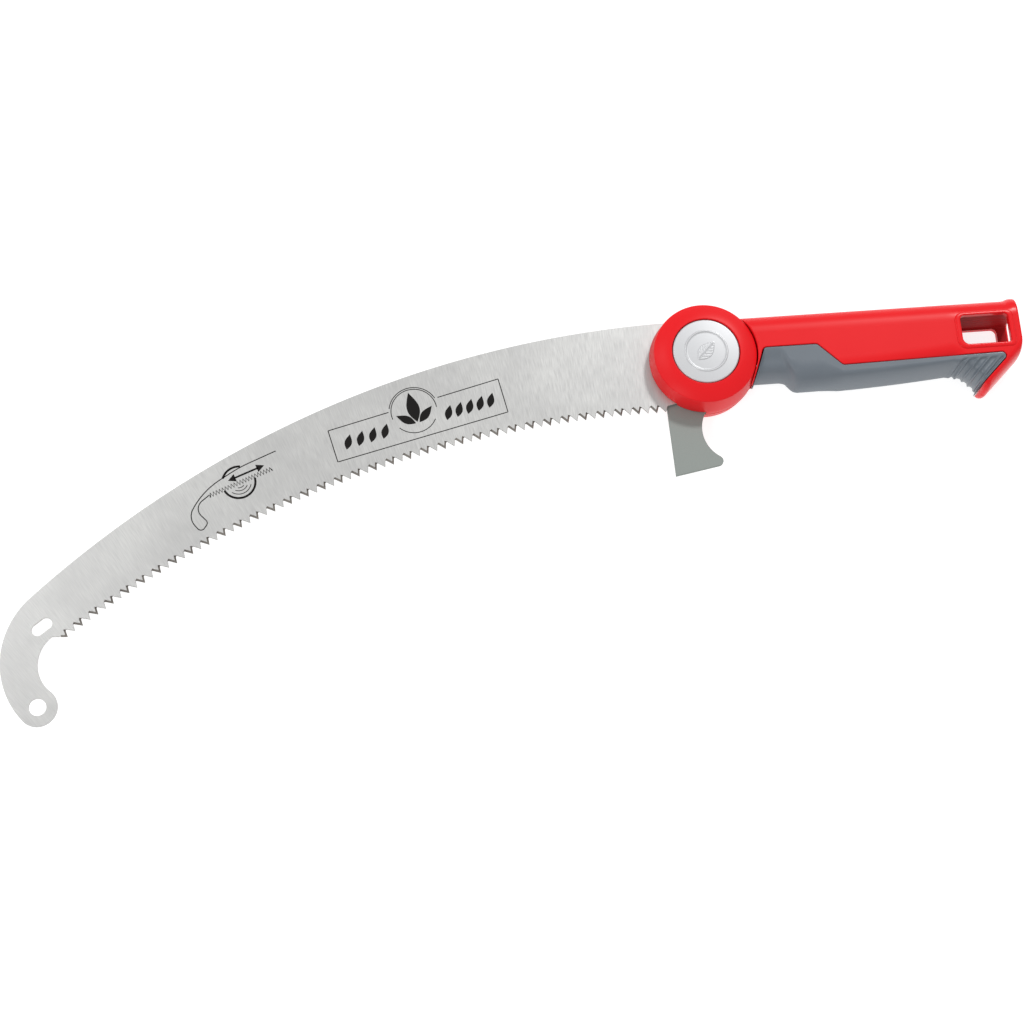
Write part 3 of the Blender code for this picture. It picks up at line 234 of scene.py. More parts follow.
# ---- camera and studio -----------------------------------------------------------------------
LENS, SENSOR = 75.9, 36.0
CAMERA_AT = (-204.8, -437.5, 1216.0)
CAMERA_AIM = (-121.7, -85.5, 16.0)
CAMERA_UPRIGHT = (0.0872, 0.9962, 0.0)
LAMPS_AIM = (-0.1, -0.05, 0.0)
LAMPS = {  # place and size in metres, and watts
    "key": ((0.75, 1.2, 1.6), 0.26, 17.0),
    "fill": ((-0.85, -0.8, 1.25), 0.45, 4.5),
    "side": ((-1.0, 0.5, 1.3), 0.6, 4.0),
}
SURROUND = 0.6
FLOOR_HALF, FLOOR_Z = 6000.0, -0.05


# ---- flat geometry ---------------------------------------------------------------------------
def polar(centre, radius, degrees):
    """Points at a distance from a centre, in the directions given."""
    turn = np.radians(degrees)
    return np.array(centre) + radius * np.stack([np.cos(turn), np.sin(turn)], -1)


def arc(centre, radius, start, end, count):
    """Points of a circle from one direction to another, in degrees."""
    return polar(centre, radius, np.linspace(start, end, count))


def bearing(origin, target):
    """Direction from one point to another, in degrees."""
    return math.degrees(math.atan2(target[1] - origin[1], target[0] - origin[0]))


def smooth(value):
    """Zero below 0, one above 1 and 3t2 - 2t3 between."""
    t = np.clip(value, 0.0, 1.0)
    return t * t * (3 - 2 * t)


def rounded_path(points, radii, count=9):
    """An open line whose inner corners are arcs tangent to both sides."""
    made = [np.array(points[0], float)[None]]
    for before, corner, after, radius in zip(points, points[1:], points[2:], radii):
        corner = np.array(corner, float)
        back = np.array(before) - corner
        on = np.array(after) - corner
        back, on = back / np.hypot(*back), on / np.hypot(*on)
        half = math.acos(float(back @ on)) / 2
        middle = corner + (back + on) / np.hypot(*(back + on)) * radius / math.sin(half)
        start = bearing(middle, corner + back * radius / math.tan(half))
        turn = bearing(middle, corner + on * radius / math.tan(half)) - start
        made.append(arc(middle, radius, start, start + (turn + 180) % 360 - 180, count))
    made.append(np.array(points[-1], float)[None])
    return np.concatenate(made)


def left_of(steps):
    """The direction square to each step of a line, on its left, one long."""
    steps = steps / np.hypot(steps[:, 0], steps[:, 1])[:, None]
    return np.stack([-steps[:, 1], steps[:, 0]], -1)


def moved_out(path, distance):
    """A line moved to the right of its direction, by the normals at its points."""
    return path - distance * left_of(np.gradient(path, axis=0))


def along(path, count):
    """Equally spaced points along a line."""
    steps = np.hypot(*np.diff(path, axis=0).T)
    length = np.concatenate([[0.0], np.cumsum(steps)])
    places = np.linspace(0.0, length[-1], count)
    return np.stack([np.interp(places, length, path[:, i]) for i in (0, 1)], -1)


def distance_to(path, x, y):
    """Distance in the plane from each point to the nearest stretch of a line."""
    points = np.stack([x.ravel(), y.ravel()], -1)[:, None]
    start, run = path[:-1], np.diff(path, axis=0)
    share = ((points - start) * run).sum(-1) / (run**2).sum(-1)
    nearest = start + np.clip(share, 0, 1)[..., None] * run
    return np.sqrt(((points - nearest) ** 2).sum(-1)).min(1).reshape(x.shape)


# ---- meshes ----------------------------------------------------------------------------------
def quads(rows, columns, wrap_rows=False, wrap_columns=False):
    """Corner numbers of a grid's faces, row by row."""
    i, j = np.meshgrid(
        np.arange(rows - (not wrap_rows)), np.arange(columns - (not wrap_columns)), indexing="ij"
    )
    below, right = (i + 1) % rows, (j + 1) % columns
    corners = [i * columns + j, i * columns + right, below * columns + right, below * columns + j]
    return np.stack(corners, -1)


def raw_mesh(name, skins):
    """One mesh from several (points, faces) pairs, in metres."""
    mesh = bpy.data.meshes.new(name)
    points, faces, first = [], [], 0
    for skin_points, skin_faces in skins:
        flat = np.asarray(skin_points, float).reshape(-1, 3)
        points.append(flat)
        faces += [[first + c for c in face] for face in np.asarray(skin_faces).tolist()]
        first += len(flat)
    mesh.from_pydata((np.concatenate(points) * MM).tolist(), [], faces)
    return mesh


def closed(mesh):
    """Welds a mesh, fills what is open, and turns its faces outwards."""
    form = bmesh.new()
    form.from_mesh(mesh)
    bmesh.ops.remove_doubles(form, verts=form.verts, dist=0.000004)
    bmesh.ops.dissolve_degenerate(form, edges=form.edges, dist=0.000002)
    bmesh.ops.holes_fill(form, edges=form.edges, sides=0)
    bmesh.ops.recalc_face_normals(form, faces=form.faces)
    form.to_mesh(mesh)
    form.free()
    return mesh


def solid(name, skins):
    """An object, not yet on a body, from grids or faces that together close a space."""
    obj = bpy.data.objects.new(name, closed(raw_mesh(name, skins)))
    bpy.context.scene.collection.objects.link(obj)
    return obj


def grid(points, keep=None, **wraps):
    """A grid of points as a skin. keep is a mask of the faces that stay."""
    faces = quads(*points.shape[:2], **wraps)
    return points, faces[keep] if keep is not None else faces.reshape(-1, 4)


def turned(name, profile, count=192):
    """A solid of revolution: each (radius, height) of a closed profile goes round the Z axis."""
    radius, height = np.array(profile, float).T
    turn = np.linspace(0, 2 * math.pi, count, endpoint=False)[:, None]
    points = np.stack([radius * np.cos(turn), radius * np.sin(turn), height + 0 * turn], -1)
    return solid(name, [grid(points, wrap_rows=True, wrap_columns=True)])


def inset(loop, widths):
    """Each corner of a loop moved to its left along the bisector, by its own width."""
    back = loop - np.roll(loop, 1, 0)
    on = np.roll(loop, -1, 0) - loop
    middle = left_of(back) + left_of(on)
    middle /= np.hypot(middle[:, 0], middle[:, 1])[:, None]
    lean = np.maximum((middle * left_of(on)).sum(-1), SHARPEST)
    return loop + middle * (np.asarray(widths) / lean)[:, None]


def sheet(name, loops, back, front):
    """A flat sheet: loops are (outline, front bevel, back bevel, bevel depth share), outer first.

    Each loop gives four rings: the edge of the flat front, the front of the rim, the back of the
    rim and the edge of the flat back. A bevel is as deep as it is wide, times its depth share."""
    skins, fronts, backs = [], [], []
    for outline, front_width, back_width in loops:
        rings = []
        for width, level, sign in ((front_width, front, -1), (back_width, back, 1)):
            width = np.broadcast_to(width, len(outline))
            flat = inset(outline, width)
            (fronts if sign < 0 else backs).append(flat)
            depth = np.minimum(width * BEVEL_DEPTH / BEVEL_WIDTH, (front - back) - 0.3)
            pair = [
                np.column_stack([flat, np.full(len(flat), level)]),
                np.column_stack([outline, level + sign * depth]),
            ]
            rings += pair if sign < 0 else pair[::-1]
        skins.append(grid(np.array(rings), wrap_columns=True))
    for level, flats in ((front, fronts), (back, backs)):
        lines = [[Vector((x, y, 0.0)) for x, y in flat] for flat in flats]
        points = np.concatenate(flats)
        points = np.column_stack([points, np.full(len(points), level)])
        skins.append((points, np.array(tessellate_polygon(lines))))
    return solid(name, skins)


def prism(name, outline, back, front):
    """An outline carried straight from back to front."""
    return sheet(name, [(np.array(outline, float), 0.001, 0.001)], back, front)


def combine(obj, other, operation="DIFFERENCE"):
    """Cuts, joins or intersects one closed mesh with another, which is then removed."""
    step = obj.modifiers.new("shape", "BOOLEAN")
    step.operation = operation
    step.object = other
    graph = bpy.context.evaluated_depsgraph_get()
    result = bpy.data.meshes.new_from_object(obj.evaluated_get(graph))
    obj.modifiers.remove(step)
    obj.data = result
    bpy.data.objects.remove(other)
    return obj


def finish_piece(obj, body, looks, replaces=(), sharp=30.0):
    """Shades a piece, gives it its materials and says what it rides on and stands for."""
    obj.data.shade_smooth()
    obj.data.set_sharp_from_angle(angle=math.radians(sharp))
    keep = np.zeros(len(obj.data.polygons), np.int32)
    obj.data.polygons.foreach_get("material_index", keep)
    obj.data.materials.clear()
    for look in looks:
        obj.data.materials.append(look)
    obj.data.polygons.foreach_set("material_index", np.minimum(keep, len(looks) - 1))
    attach(obj, body)
    if replaces:
        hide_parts(*replaces)
    return obj


# ---- materials -------------------------------------------------------------------------------
CLOUD_MM = 22.0  # size of the faint clouds in moulded plastic
STAIN_MM = 35.0  # size of the faint patches on ground steel
LINE_STRETCH = 14.0  # a grinding line's length over its width


def colour(code):
    """An sRGB hex value as linear light."""
    part = np.array([int(code[i : i + 2], 16) for i in (1, 3, 5)]) / 255
    linear = np.where(part <= 0.04045, part / 12.92, ((part + 0.055) / 1.055) ** 2.4)
    return (*linear.tolist(), 1.0)


def add(tree, kind, inputs=None, **settings):
    """One node with its settings. An input is a value, or a socket that is linked to it."""
    node = tree.nodes.new(kind)
    for name, value in settings.items():
        setattr(node, name, value)
    for name, value in (inputs or {}).items():
        if isinstance(value, bpy.types.NodeSocket):
            tree.links.new(value, node.inputs[name])
        else:
            node.inputs[name].default_value = value
    return node


def blank(name):
    """A new material's node tree, its shader and its Object coordinates."""
    made = bpy.data.materials.new(name)
    made.use_nodes = True
    tree = made.node_tree
    place = add(tree, "ShaderNodeTexCoord").outputs["Object"]
    return made, tree, tree.nodes["Principled BSDF"], place


def set_shader(tree, shader, **inputs):
    """Puts values on the shader's own sockets, and links sockets to them."""
    for name, value in inputs.items():
        name = name.replace("_", " ")
        if isinstance(value, bpy.types.NodeSocket):
            tree.links.new(value, shader.inputs[name])
        else:
            shader.inputs[name].default_value = value


def finish(tree, shader, tone, pattern, dark, light, roughness, spread, depth, **inputs):
    """What every material shares: a tone between two colours, a roughness and a bump.

    tone is the light colour's share. pattern moves the roughness by up to spread either way, and
    stands depth millimetres high in the bump."""
    mix = add(tree, "ShaderNodeMix", {"Factor": tone}, data_type="RGBA")
    # The node repeats its socket names for each type, so its colour sockets are set by place.
    mix.inputs[6].default_value, mix.inputs[7].default_value = colour(dark), colour(light)
    rough = add(
        tree, "ShaderNodeMapRange",
        {"Value": pattern, "To Min": roughness - spread, "To Max": roughness + spread},
    ).outputs["Result"]
    bump = add(
        tree, "ShaderNodeBump", {"Height": pattern, "Distance": depth * MM, "Strength": 1.0}
    )
    set_shader(
        tree, shader, Base_Color=mix.outputs[2], Roughness=rough, Normal=bump.outputs["Normal"],
        **inputs,
    )
    return rough


def moulded(name, base, light, roughness, grain_mm, grain_depth, gloss_end=None, shine=0.5):
    """Injection-moulded plastic or rubber: even colour, spark-eroded grain and faint cloudiness."""
    made, tree, shader, place = blank(name)
    cloud = add(
        tree, "ShaderNodeTexNoise", {"Vector": place, "Scale": 1 / (CLOUD_MM * MM), "Detail": 3.0}
    )
    grain = add(
        tree, "ShaderNodeTexNoise",
        {"Vector": place, "Scale": 1 / (grain_mm * MM), "Detail": 2.0, "Roughness": 0.6},
    )
    rough = finish(
        tree, shader, cloud.outputs["Fac"], grain.outputs["Fac"], base, light, roughness, 0.05,
        grain_depth, IOR=1.5, Specular_IOR_Level=shine,
    )
    if gloss_end:
        start, end, less = gloss_end
        split = add(tree, "ShaderNodeSeparateXYZ", {"Vector": place})
        fall = add(
            tree, "ShaderNodeMapRange",
            {"Value": split.outputs["X"], "From Min": start * MM, "From Max": end * MM,
             "To Min": 0.0, "To Max": less},
        )
        polished = add(
            tree, "ShaderNodeMath", {0: rough, 1: fall.outputs["Result"]}, operation="SUBTRACT"
        )
        set_shader(tree, shader, Roughness=polished.outputs["Value"])
    return made


def ground_steel(name, dark, light, roughness, line_mm, depth, metallic=1.0):
    """Sheet ground across its length: fine lines that run square to the arc of the teeth."""
    made, tree, shader, place = blank(name)
    centred = add(
        tree, "ShaderNodeMapping",
        {"Vector": place, "Location": (-TOOTH_CENTRE[0] * MM, -TOOTH_CENTRE[1] * MM, 0.0)},
    )
    split = add(tree, "ShaderNodeSeparateXYZ", {"Vector": centred.outputs["Vector"]})
    angle = add(
        tree, "ShaderNodeMath", {0: split.outputs["X"], 1: split.outputs["Y"]}, operation="ARCTAN2"
    )
    run = add(
        tree, "ShaderNodeMath", {0: angle.outputs["Value"], 1: TOOTH_RADIUS / line_mm},
        operation="MULTIPLY",
    )
    height = add(
        tree, "ShaderNodeMath", {0: split.outputs["Y"], 1: 1 / (LINE_STRETCH * line_mm * MM)},
        operation="MULTIPLY",
    )
    flow = add(
        tree, "ShaderNodeCombineXYZ", {"X": run.outputs["Value"], "Y": height.outputs["Value"]}
    )
    lines = add(
        tree, "ShaderNodeTexNoise", {"Vector": flow.outputs["Vector"], "Scale": 1.0, "Detail": 4.0}
    )
    cloud = add(
        tree, "ShaderNodeTexNoise", {"Vector": place, "Scale": 1 / (STAIN_MM * MM), "Detail": 4.0}
    )
    blend = add(
        tree, "ShaderNodeMath", {0: lines.outputs["Fac"], 1: cloud.outputs["Fac"]}, operation="MULTIPLY"
    )
    tint = add(
        tree, "ShaderNodeMapRange",
        {"Value": blend.outputs["Value"], "From Min": 0.12, "From Max": 0.42},
    )
    finish(
        tree, shader, tint.outputs["Result"], lines.outputs["Fac"], dark, light, roughness, 0.08,
        depth, Metallic=metallic,
    )
    return made


def metal(name, dark, light, roughness, grain_mm, depth=0.004, metallic=1.0):
    """Plated, cast or drawn metal: its grain changes the tone and the sheen a little."""
    made, tree, shader, place = blank(name)
    grain = add(
        tree, "ShaderNodeTexNoise", {"Vector": place, "Scale": 1 / (grain_mm * MM), "Detail": 3.0}
    ).outputs["Fac"]
    finish(tree, shader, grain, grain, dark, light, roughness, 0.06, depth, Metallic=metallic)
    return made


def lit_floor():
    """White acrylic sheet lit a little from below, so that shadows on it stay pale."""
    made, tree, shader, _ = blank("white_acrylic_light_table")
    set_shader(
        tree, shader, Base_Color=colour("#B4B4B4"), Roughness=0.8, Specular_IOR_Level=0.1,
        Emission_Color=colour("#FFFFFF"), Emission_Strength=0.8,
    )
    return made


def make_looks():
    """Each finish, by the name that the pieces call it."""
    return {
        # Moulded ABS: satin on the hub and handle, brighter on the polished frame at the end.
        "red": moulded(
            "satin_red_moulded_abs", "#E0191F", "#E61D23", 0.38, 0.5, 0.012,
            gloss_end=(146.0, 156.0, 0.14), shine=0.16,
        ),
        # The same plastic in the pole's way in: rougher and without shine, and painted a deeper red for the
        # shade that falls inside it.
        "core": moulded("dull_red_cored_abs", "#9C1216", "#A8161B", 0.6, 0.5, 0.012, shine=0.1),
        # Moulded thermoplastic rubber: matte, with a broad sheen, and polished at the ribs.
        "grey": moulded(
            "grey_moulded_soft_rubber", "#636B73", "#6B737B", 0.50, 0.45, 0.014,
            gloss_end=(148.0, 156.0, 0.2),
        ),
        # Carbon-steel sheet, ground: light, with faint lines across its length.
        "blade": ground_steel("ground_carbon_steel_sheet", "#C6C6C5", "#D8D8D6", 0.34, 0.55, 0.004, 0.8),
        # The same steel on the teeth's ground facets, painted darker to stand in for the dark reflection of
        # these steep facets.
        "bevel": ground_steel("tooth_steel_painted_dark_facets", "#8A8580", "#A6A19B", 0.3, 0.3, 0.003),
        # Phosphated knife steel: an even mid grey with little shine.
        "knife": metal("phosphated_knife_steel", "#868C88", "#919793", 0.55, 0.6, metallic=0.35),
        # Aluminium-look paint on plastic.
        "silver": metal("satin_silver_paint", "#C3C4C6", "#CDCED0", 0.38, 0.35, 0.006, metallic=0.35),
        "zinc": metal("zinc_die_casting", "#9C9EA1", "#AFB1B4", 0.45, 0.9),
        "fastener": metal("zinc_plated_steel", "#B9BCC2", "#CDD0D5", 0.3, 0.7),
        "spring_steel": metal("oiled_spring_steel", "#6B6B6E", "#8A8A8D", 0.32, 0.5),
        "brass": metal("machined_brass", "#C5A45A", "#D6B86D", 0.28, 0.6),
        "bronze": metal("sintered_bronze", "#94744A", "#A98857", 0.5, 0.3),
        "acetal": moulded("moulded_white_acetal", "#DADAD4", "#E4E4DE", 0.35, 0.4, 0.006),
        # Screen-printed ink.
        "ink": moulded("black_printing_ink", "#0E0C0B", "#161413", 0.6, 0.3, 0.004, shine=0.15),
        "floor": lit_floor(),
    }


# ---- blade, knife and prints -----------------------------------------------------------------
def tooth_edge():
    """Corners of the teeth from the hooked end to the hub, with their front and back bevels.

    Tooth i's tip stands i pitches along the tooth line; its two gullets lie a depth above, the one
    towards the hook further off. Even teeth are bevelled in front and odd teeth behind."""
    start = HEEL_ANGLE + math.degrees(2 * math.asin(CUT_LENGTH / 2 / TOOTH_RADIUS))
    count = round(math.radians(start - HEEL_ANGLE) * TOOTH_RADIUS / TOOTH_PITCH)
    step = (start - HEEL_ANGLE) / count
    tips = start - step * np.arange(count + 1)
    half = GULLET_FLAT / 2
    offsets = np.array([TOOTH_LEAN - half, 0.0, TOOTH_LEAN - 1 + half]) * step
    angles = (tips[:, None] + offsets).ravel()
    heights = np.tile([TOOTH_DEPTH, 0.0, TOOTH_DEPTH], count + 1)
    turn = np.radians(angles)
    points = TOOTH_CENTRE + (TOOTH_RADIUS + heights)[:, None] * np.stack(
        [np.cos(turn), np.sin(turn)], -1
    )
    even = np.repeat(np.arange(count + 1) % 2 == 0, 3)
    front = np.where(even, BEVEL_WIDTH, EDGE_BREAK)
    behind = np.where(even, EDGE_BREAK, BEVEL_WIDTH)
    return start, points[1:], front[1:], behind[1:]


def make_blade(looks):
    """The toothed sheet: arcs for spine, hook, nose and hollow, then the teeth and the hub's root.

    Each arc starts in the direction in which the last one ends. The slot stands off the first tooth."""
    start, teeth, tooth_front, tooth_back = tooth_edge()
    first_tip = teeth[0]
    far = bearing(SPINE_CENTRE, first_tip)
    near = bearing(SPINE_CENTRE, (0.0, 0.0))
    spine = arc(SPINE_CENTRE, SPINE_RADIUS, near, far, 120)
    hook_centre = polar(SPINE_CENTRE, SPINE_RADIUS - HOOK_RADIUS, far)
    hook = arc(hook_centre, HOOK_RADIUS, far, far + HOOK_TURN, 50)
    nose_centre = polar(hook_centre, HOOK_RADIUS - NOSE_RADIUS, far + HOOK_TURN)
    inward = far - HOLLOW_TURN
    nose = arc(nose_centre, NOSE_RADIUS, far + HOOK_TURN, inward + 360, 50)
    hollow_centre = polar(nose_centre, NOSE_RADIUS + HOLLOW_RADIUS, inward)
    hollow = arc(hollow_centre, HOLLOW_RADIUS, inward + 180, inward + 180 - HOLLOW_SWEEP, 40)
    root = arc((0, 0), ROOT_RADIUS, ROOT_HEEL_ANGLE, near, 70)
    lead = first_tip + (hollow[-1] - first_tip) * np.array([[0.52], [0.45]])
    before = np.concatenate([spine[:-1], hook[:-1], nose[:-1], hollow, lead])
    outline = np.concatenate([before, teeth, root[:-1]])
    plain = np.full(len(before), EDGE_BREAK)
    plain_front = np.append(plain[:-1], BEVEL_WIDTH)
    after = np.full(len(root) - 1, EDGE_BREAK)
    front = np.concatenate([plain_front, tooth_front, after])
    behind = np.concatenate([plain, tooth_back, after])
    across = polar((0, 0), 1.0, start)
    run = polar((0, 0), 1.0, start + 90)
    near_end = first_tip + run * SLOT_INSET[0] + across * SLOT_INSET[1]
    slot = np.concatenate([
        arc(near_end + run * SLOT_LENGTH, SLOT_RADIUS, start + 180, start, 20),
        arc(near_end, SLOT_RADIUS, start, start - 180, 20),
    ])
    holes = [
        arc((0, 0), CORE_BORE, 360, 5, 72),
        arc(nose_centre, NOSE_HOLE, 360, 10, 36),
        slot,
    ]
    loops = [(outline, front, behind)] + [(hole, EDGE_BREAK, EDGE_BREAK) for hole in holes]
    blade = sheet("ground_saw_blade", loops, BLADE_BACK, BLADE_FRONT)
    # The ground facets get the steel painted darker: a painted reflection.
    mark_bevels(blade)
    return finish_piece(
        blade, "head", [looks["blade"], looks["bevel"]], ["saw_blade"], sharp=15.0
    )


def mark_bevels(blade):
    """Second material, the steel painted darker for the facets' dark reflection, on the ground facets:
    faces that lean, and reach well into the sheet.
    """
    mesh = blade.data
    count = len(mesh.polygons)
    normals = np.empty(count * 3, np.float32)
    mesh.polygons.foreach_get("normal", normals)
    lean = np.abs(normals.reshape(-1, 3)[:, 2])
    area = np.empty(count, np.float32)
    mesh.polygons.foreach_get("area", area)
    ground = (lean > 0.3) & (lean < 0.95) & (area > 0.8 * MM**2)
    mesh.polygons.foreach_set("material_index", ground.astype(np.int32))


def knife_outline():
    """A straight back and end, a round beak, a hollow throat and the round root in the hub."""
    lean = math.tan(math.radians(KNIFE_LEAN))
    corner = np.array([-ROOT_RADIUS + KNIFE_REACH * lean, -KNIFE_REACH])
    square = KNIFE_END_SLOPE - 90
    on_end = polar(corner, KNIFE_WIDTH, KNIFE_END_SLOPE)
    beak_centre = polar(on_end, KNIFE_BEAK, square + 180)
    beak = arc(beak_centre, KNIFE_BEAK, square, KNIFE_THROAT_TURN, 16)
    throat_centre = polar(beak_centre, KNIFE_BEAK + KNIFE_THROAT, KNIFE_THROAT_TURN)
    end = KNIFE_THROAT_TURN + 180
    throat = arc(throat_centre, KNIFE_THROAT, end, end - KNIFE_THROAT_SWEEP, 30)
    root = arc((0, 0), ROOT_RADIUS, KNIFE_ROOT_START, 180, 60)
    return np.concatenate([corner[None], beak, throat[1:], root])


def make_knife(looks):
    """The knife's outline as a sheet, less the hub's bore."""
    bore = arc((0, 0), CORE_BORE, 360, 5, 72)
    knife = sheet(
        "bark_knife_plate", [(knife_outline(), 0.3, 0.3), (bore, EDGE_BREAK, EDGE_BREAK)],
        KNIFE_BACK, KNIFE_FRONT,
    )
    return finish_piece(knife, "head", [looks["knife"]], ["bark_knife"], sharp=15.0)


def ribbon(path, width):
    """A thin printed line: four rails, left and right of the path, on the steel and just above."""
    path = np.asarray(path, float)
    side = left_of(np.gradient(path, axis=0)) * width / 2
    low, high = INK
    rails = [(path + side, low), (path + side, high), (path - side, high), (path - side, low)]
    points = np.array([np.column_stack([rail, np.full(len(rail), z)]) for rail, z in rails])
    ends = (points[:, [0, -1]].transpose(1, 0, 2), np.array([[0, 1, 2, 3], [4, 5, 6, 7]]))
    return [grid(points, wrap_rows=True), ends]


def blot(outline):
    """A thin printed patch inside an outline: its top, its underside and its rim."""
    outline = np.asarray(outline, float)
    rings = np.array([np.column_stack([outline, np.full(len(outline), z)]) for z in INK])
    triangles = np.array(tessellate_polygon([[Vector((x, y, 0.0)) for x, y in outline]]))
    return [grid(rings, wrap_columns=True), (rings[0], triangles), (rings[1], triangles)]


def leaf(at, length, width, heading):
    """Outline of a pointed leaf: its half width is a sine of the way along, narrowed to the tip."""
    t = np.linspace(0, 1, 15)
    half = width / 2 * np.sin(math.pi * t) * (1.15 - 0.45 * t)
    upper = np.stack([t * length, half], -1)
    lower = np.stack([t[::-1] * length, -half[::-1]], -1)[1:-1]
    shape = np.concatenate([upper, lower])
    c, s = math.cos(math.radians(heading)), math.sin(math.radians(heading))
    return np.array(at) + shape @ np.array([[c, s], [-s, c]])


# ---- hub -------------------------------------------------------------------------------------
def hub_radius_at(z):
    """Radius of the drafted wall: largest at the blade and smaller towards both faces."""
    front = (np.asarray(z, float) - BLADE_FRONT) / (SHOULDER_Z - BLADE_FRONT)
    rear = (DISC_TOP - np.asarray(z, float)) / DISC_TOP
    return HUB_RADIUS - HUB_DRAFT * np.clip(np.maximum(front, rear), 0, 1)


def fillet(corner, start, end, radius, count=6):
    """Points of a rounded corner between two headings of a profile."""
    return [tuple(p) for p in rounded_path([start, corner, end], [radius], count)[1:-1]]


def make_head_cover(looks):
    """The drum: a profile turned round the axis, less the ways in for the blade and the knife."""
    well = BUTTON_RADIUS + WELL_PLAY
    shoulder = (float(hub_radius_at(SHOULDER_Z)), SHOULDER_Z)
    rim = (well, RIM_Z)
    seat = BLADE_FRONT + 0.3
    wall = HUB_RADIUS - HUB_WALL
    pocket = ROOT_RADIUS + 0.6
    # From shoulder to rim: a straight line with a half sine wave on it.
    crown = [
        (
            shoulder[0] + (rim[0] - shoulder[0]) * s,
            shoulder[1] + (rim[1] - shoulder[1]) * s + CROWN_SWELL * math.sin(math.pi * s),
        )
        for s in np.linspace(0, 1, 14)
    ]
    profile = [
        (well, WELL_FLOOR),
        *fillet(rim, (well, WELL_FLOOR), crown[-3], RIM_ROUND),
        *crown[-4:2:-1],
        *fillet(crown[0], crown[3], (HUB_RADIUS, BLADE_FRONT), SHOULDER_ROUND, 9),
        (HUB_RADIUS, BLADE_FRONT),
        *fillet(
            (HUB_RADIUS, SKIRT_BACK), (HUB_RADIUS, BLADE_FRONT), (wall, SKIRT_BACK), SKIRT_ROUND, 4
        ),
        (wall, SKIRT_BACK),
        (wall, seat),
        (shoulder[0] - HUB_WALL, SHOULDER_Z - HUB_WALL),
        (pocket, SHOULDER_Z - HUB_WALL + 0.6),
        (pocket, seat),
        (CORE_BORE, seat),
        (CORE_BORE, WELL_FLOOR - WELL_THICKNESS),
        (SHAFT_BORE, WELL_FLOOR - WELL_THICKNESS),
        (SHAFT_BORE, WELL_FLOOR),
    ]
    cover = turned("hub_cover_drum", profile[::-1], 240)
    reach = HUB_RADIUS + 8
    x = np.linspace(-reach * 0.25, -reach, 12)
    upper = np.stack(
        [x, SPINE_CENTRE[1] + np.sqrt((SPINE_RADIUS + 0.3) ** 2 - (x - SPINE_CENTRE[0]) ** 2)], -1
    )
    _, teeth, _, _ = tooth_edge()
    last = teeth[-1]
    heel = polar((0, 0), ROOT_RADIUS, ROOT_HEEL_ANGLE)
    lower = np.array([[-reach, last[1] - 4.0], last + (-4.0, -4.0), last + (0.3, -0.3), heel - (0, 0.4)])
    combine(cover, prism("blade_way", np.concatenate([upper, lower]), DISC_TOP, seat))
    knife_way = inset(knife_outline(), np.full(len(knife_outline()), -0.3))
    combine(cover, prism("knife_way", knife_way, DISC_TOP, BLADE_BACK))
    return finish_piece(cover, "head", [looks["red"]], ["head_cover"])


def emblem(x, y):
    """Height of the embossed leaf: a raised lens with a groove for its midrib and side veins."""
    along_leaf = (x + y) / math.sqrt(2) + LEAF_LENGTH / 2
    across = (y - x) / math.sqrt(2)
    t = np.clip(along_leaf / LEAF_LENGTH, 0, 1)
    half = LEAF_HALF * np.sin(math.pi * t) ** 0.9 * (1.12 - 0.35 * t)
    body = smooth((half - np.abs(across)) / 0.5)
    rib = np.exp(-((across / 0.32) ** 2))
    phase = (along_leaf - 0.9 * np.abs(across)) / VEIN_PITCH
    vein = np.exp(-(((phase - np.round(phase)) / 0.13) ** 2)) * smooth(np.abs(across) / 0.5)
    return LEAF_RISE * body * (1 - 0.75 * rib) * (1 - 0.5 * vein)


def make_button(looks):
    """Top: a shallow dome, a raised ring and the leaf, as heights over a polar grid."""
    edge = BUTTON_TOP - BUTTON_DOME
    radius = np.concatenate([
        np.linspace(0.0, 11.4, 72), np.linspace(11.5, 13.3, 16),
        np.linspace(13.6, BUTTON_RADIUS - 1.1, 14),
    ])
    turn = np.linspace(0, 2 * math.pi, 288, endpoint=False)
    r, a = np.meshgrid(radius, turn)
    x, y = r * np.cos(a), r * np.sin(a)
    dome = edge + (BUTTON_DOME - 0.42) * (1 - (r / (BUTTON_RADIUS - 0.8)) ** 2)
    ring = BUTTON_RING_RISE * np.exp(-(((r - BUTTON_RING) / 0.5) ** 4))
    dish = -BUTTON_DISH * smooth((BUTTON_RING - 0.4 - r) / 0.8)
    z = dome + ring + dish + emblem(x, y) * smooth((BUTTON_RING - 1.0 - r) / 0.8)
    rim = rounded_path(
        [(radius[-1], float(z[0, -1])), (BUTTON_RADIUS, edge), (BUTTON_RADIUS, BUTTON_BACK)], [0.8], 8
    )[1:]
    bore, roof = BUTTON_RADIUS - BUTTON_WALL, edge - BUTTON_ROOF
    rim = np.concatenate([rim, [[bore, BUTTON_BACK], [bore, roof], [0, roof]]])
    side_r = np.broadcast_to(rim[:, 0], (len(turn), len(rim)))
    side = np.stack(
        [side_r * np.cos(turn)[:, None], side_r * np.sin(turn)[:, None],
         np.broadcast_to(rim[:, 1], side_r.shape)], -1
    )
    points = np.concatenate([np.stack([x, y, z], -1), side], 1)
    button = solid("silver_button_cap", [grid(points, wrap_rows=True)])
    return finish_piece(button, "button", [looks["silver"]], ["push_button"])


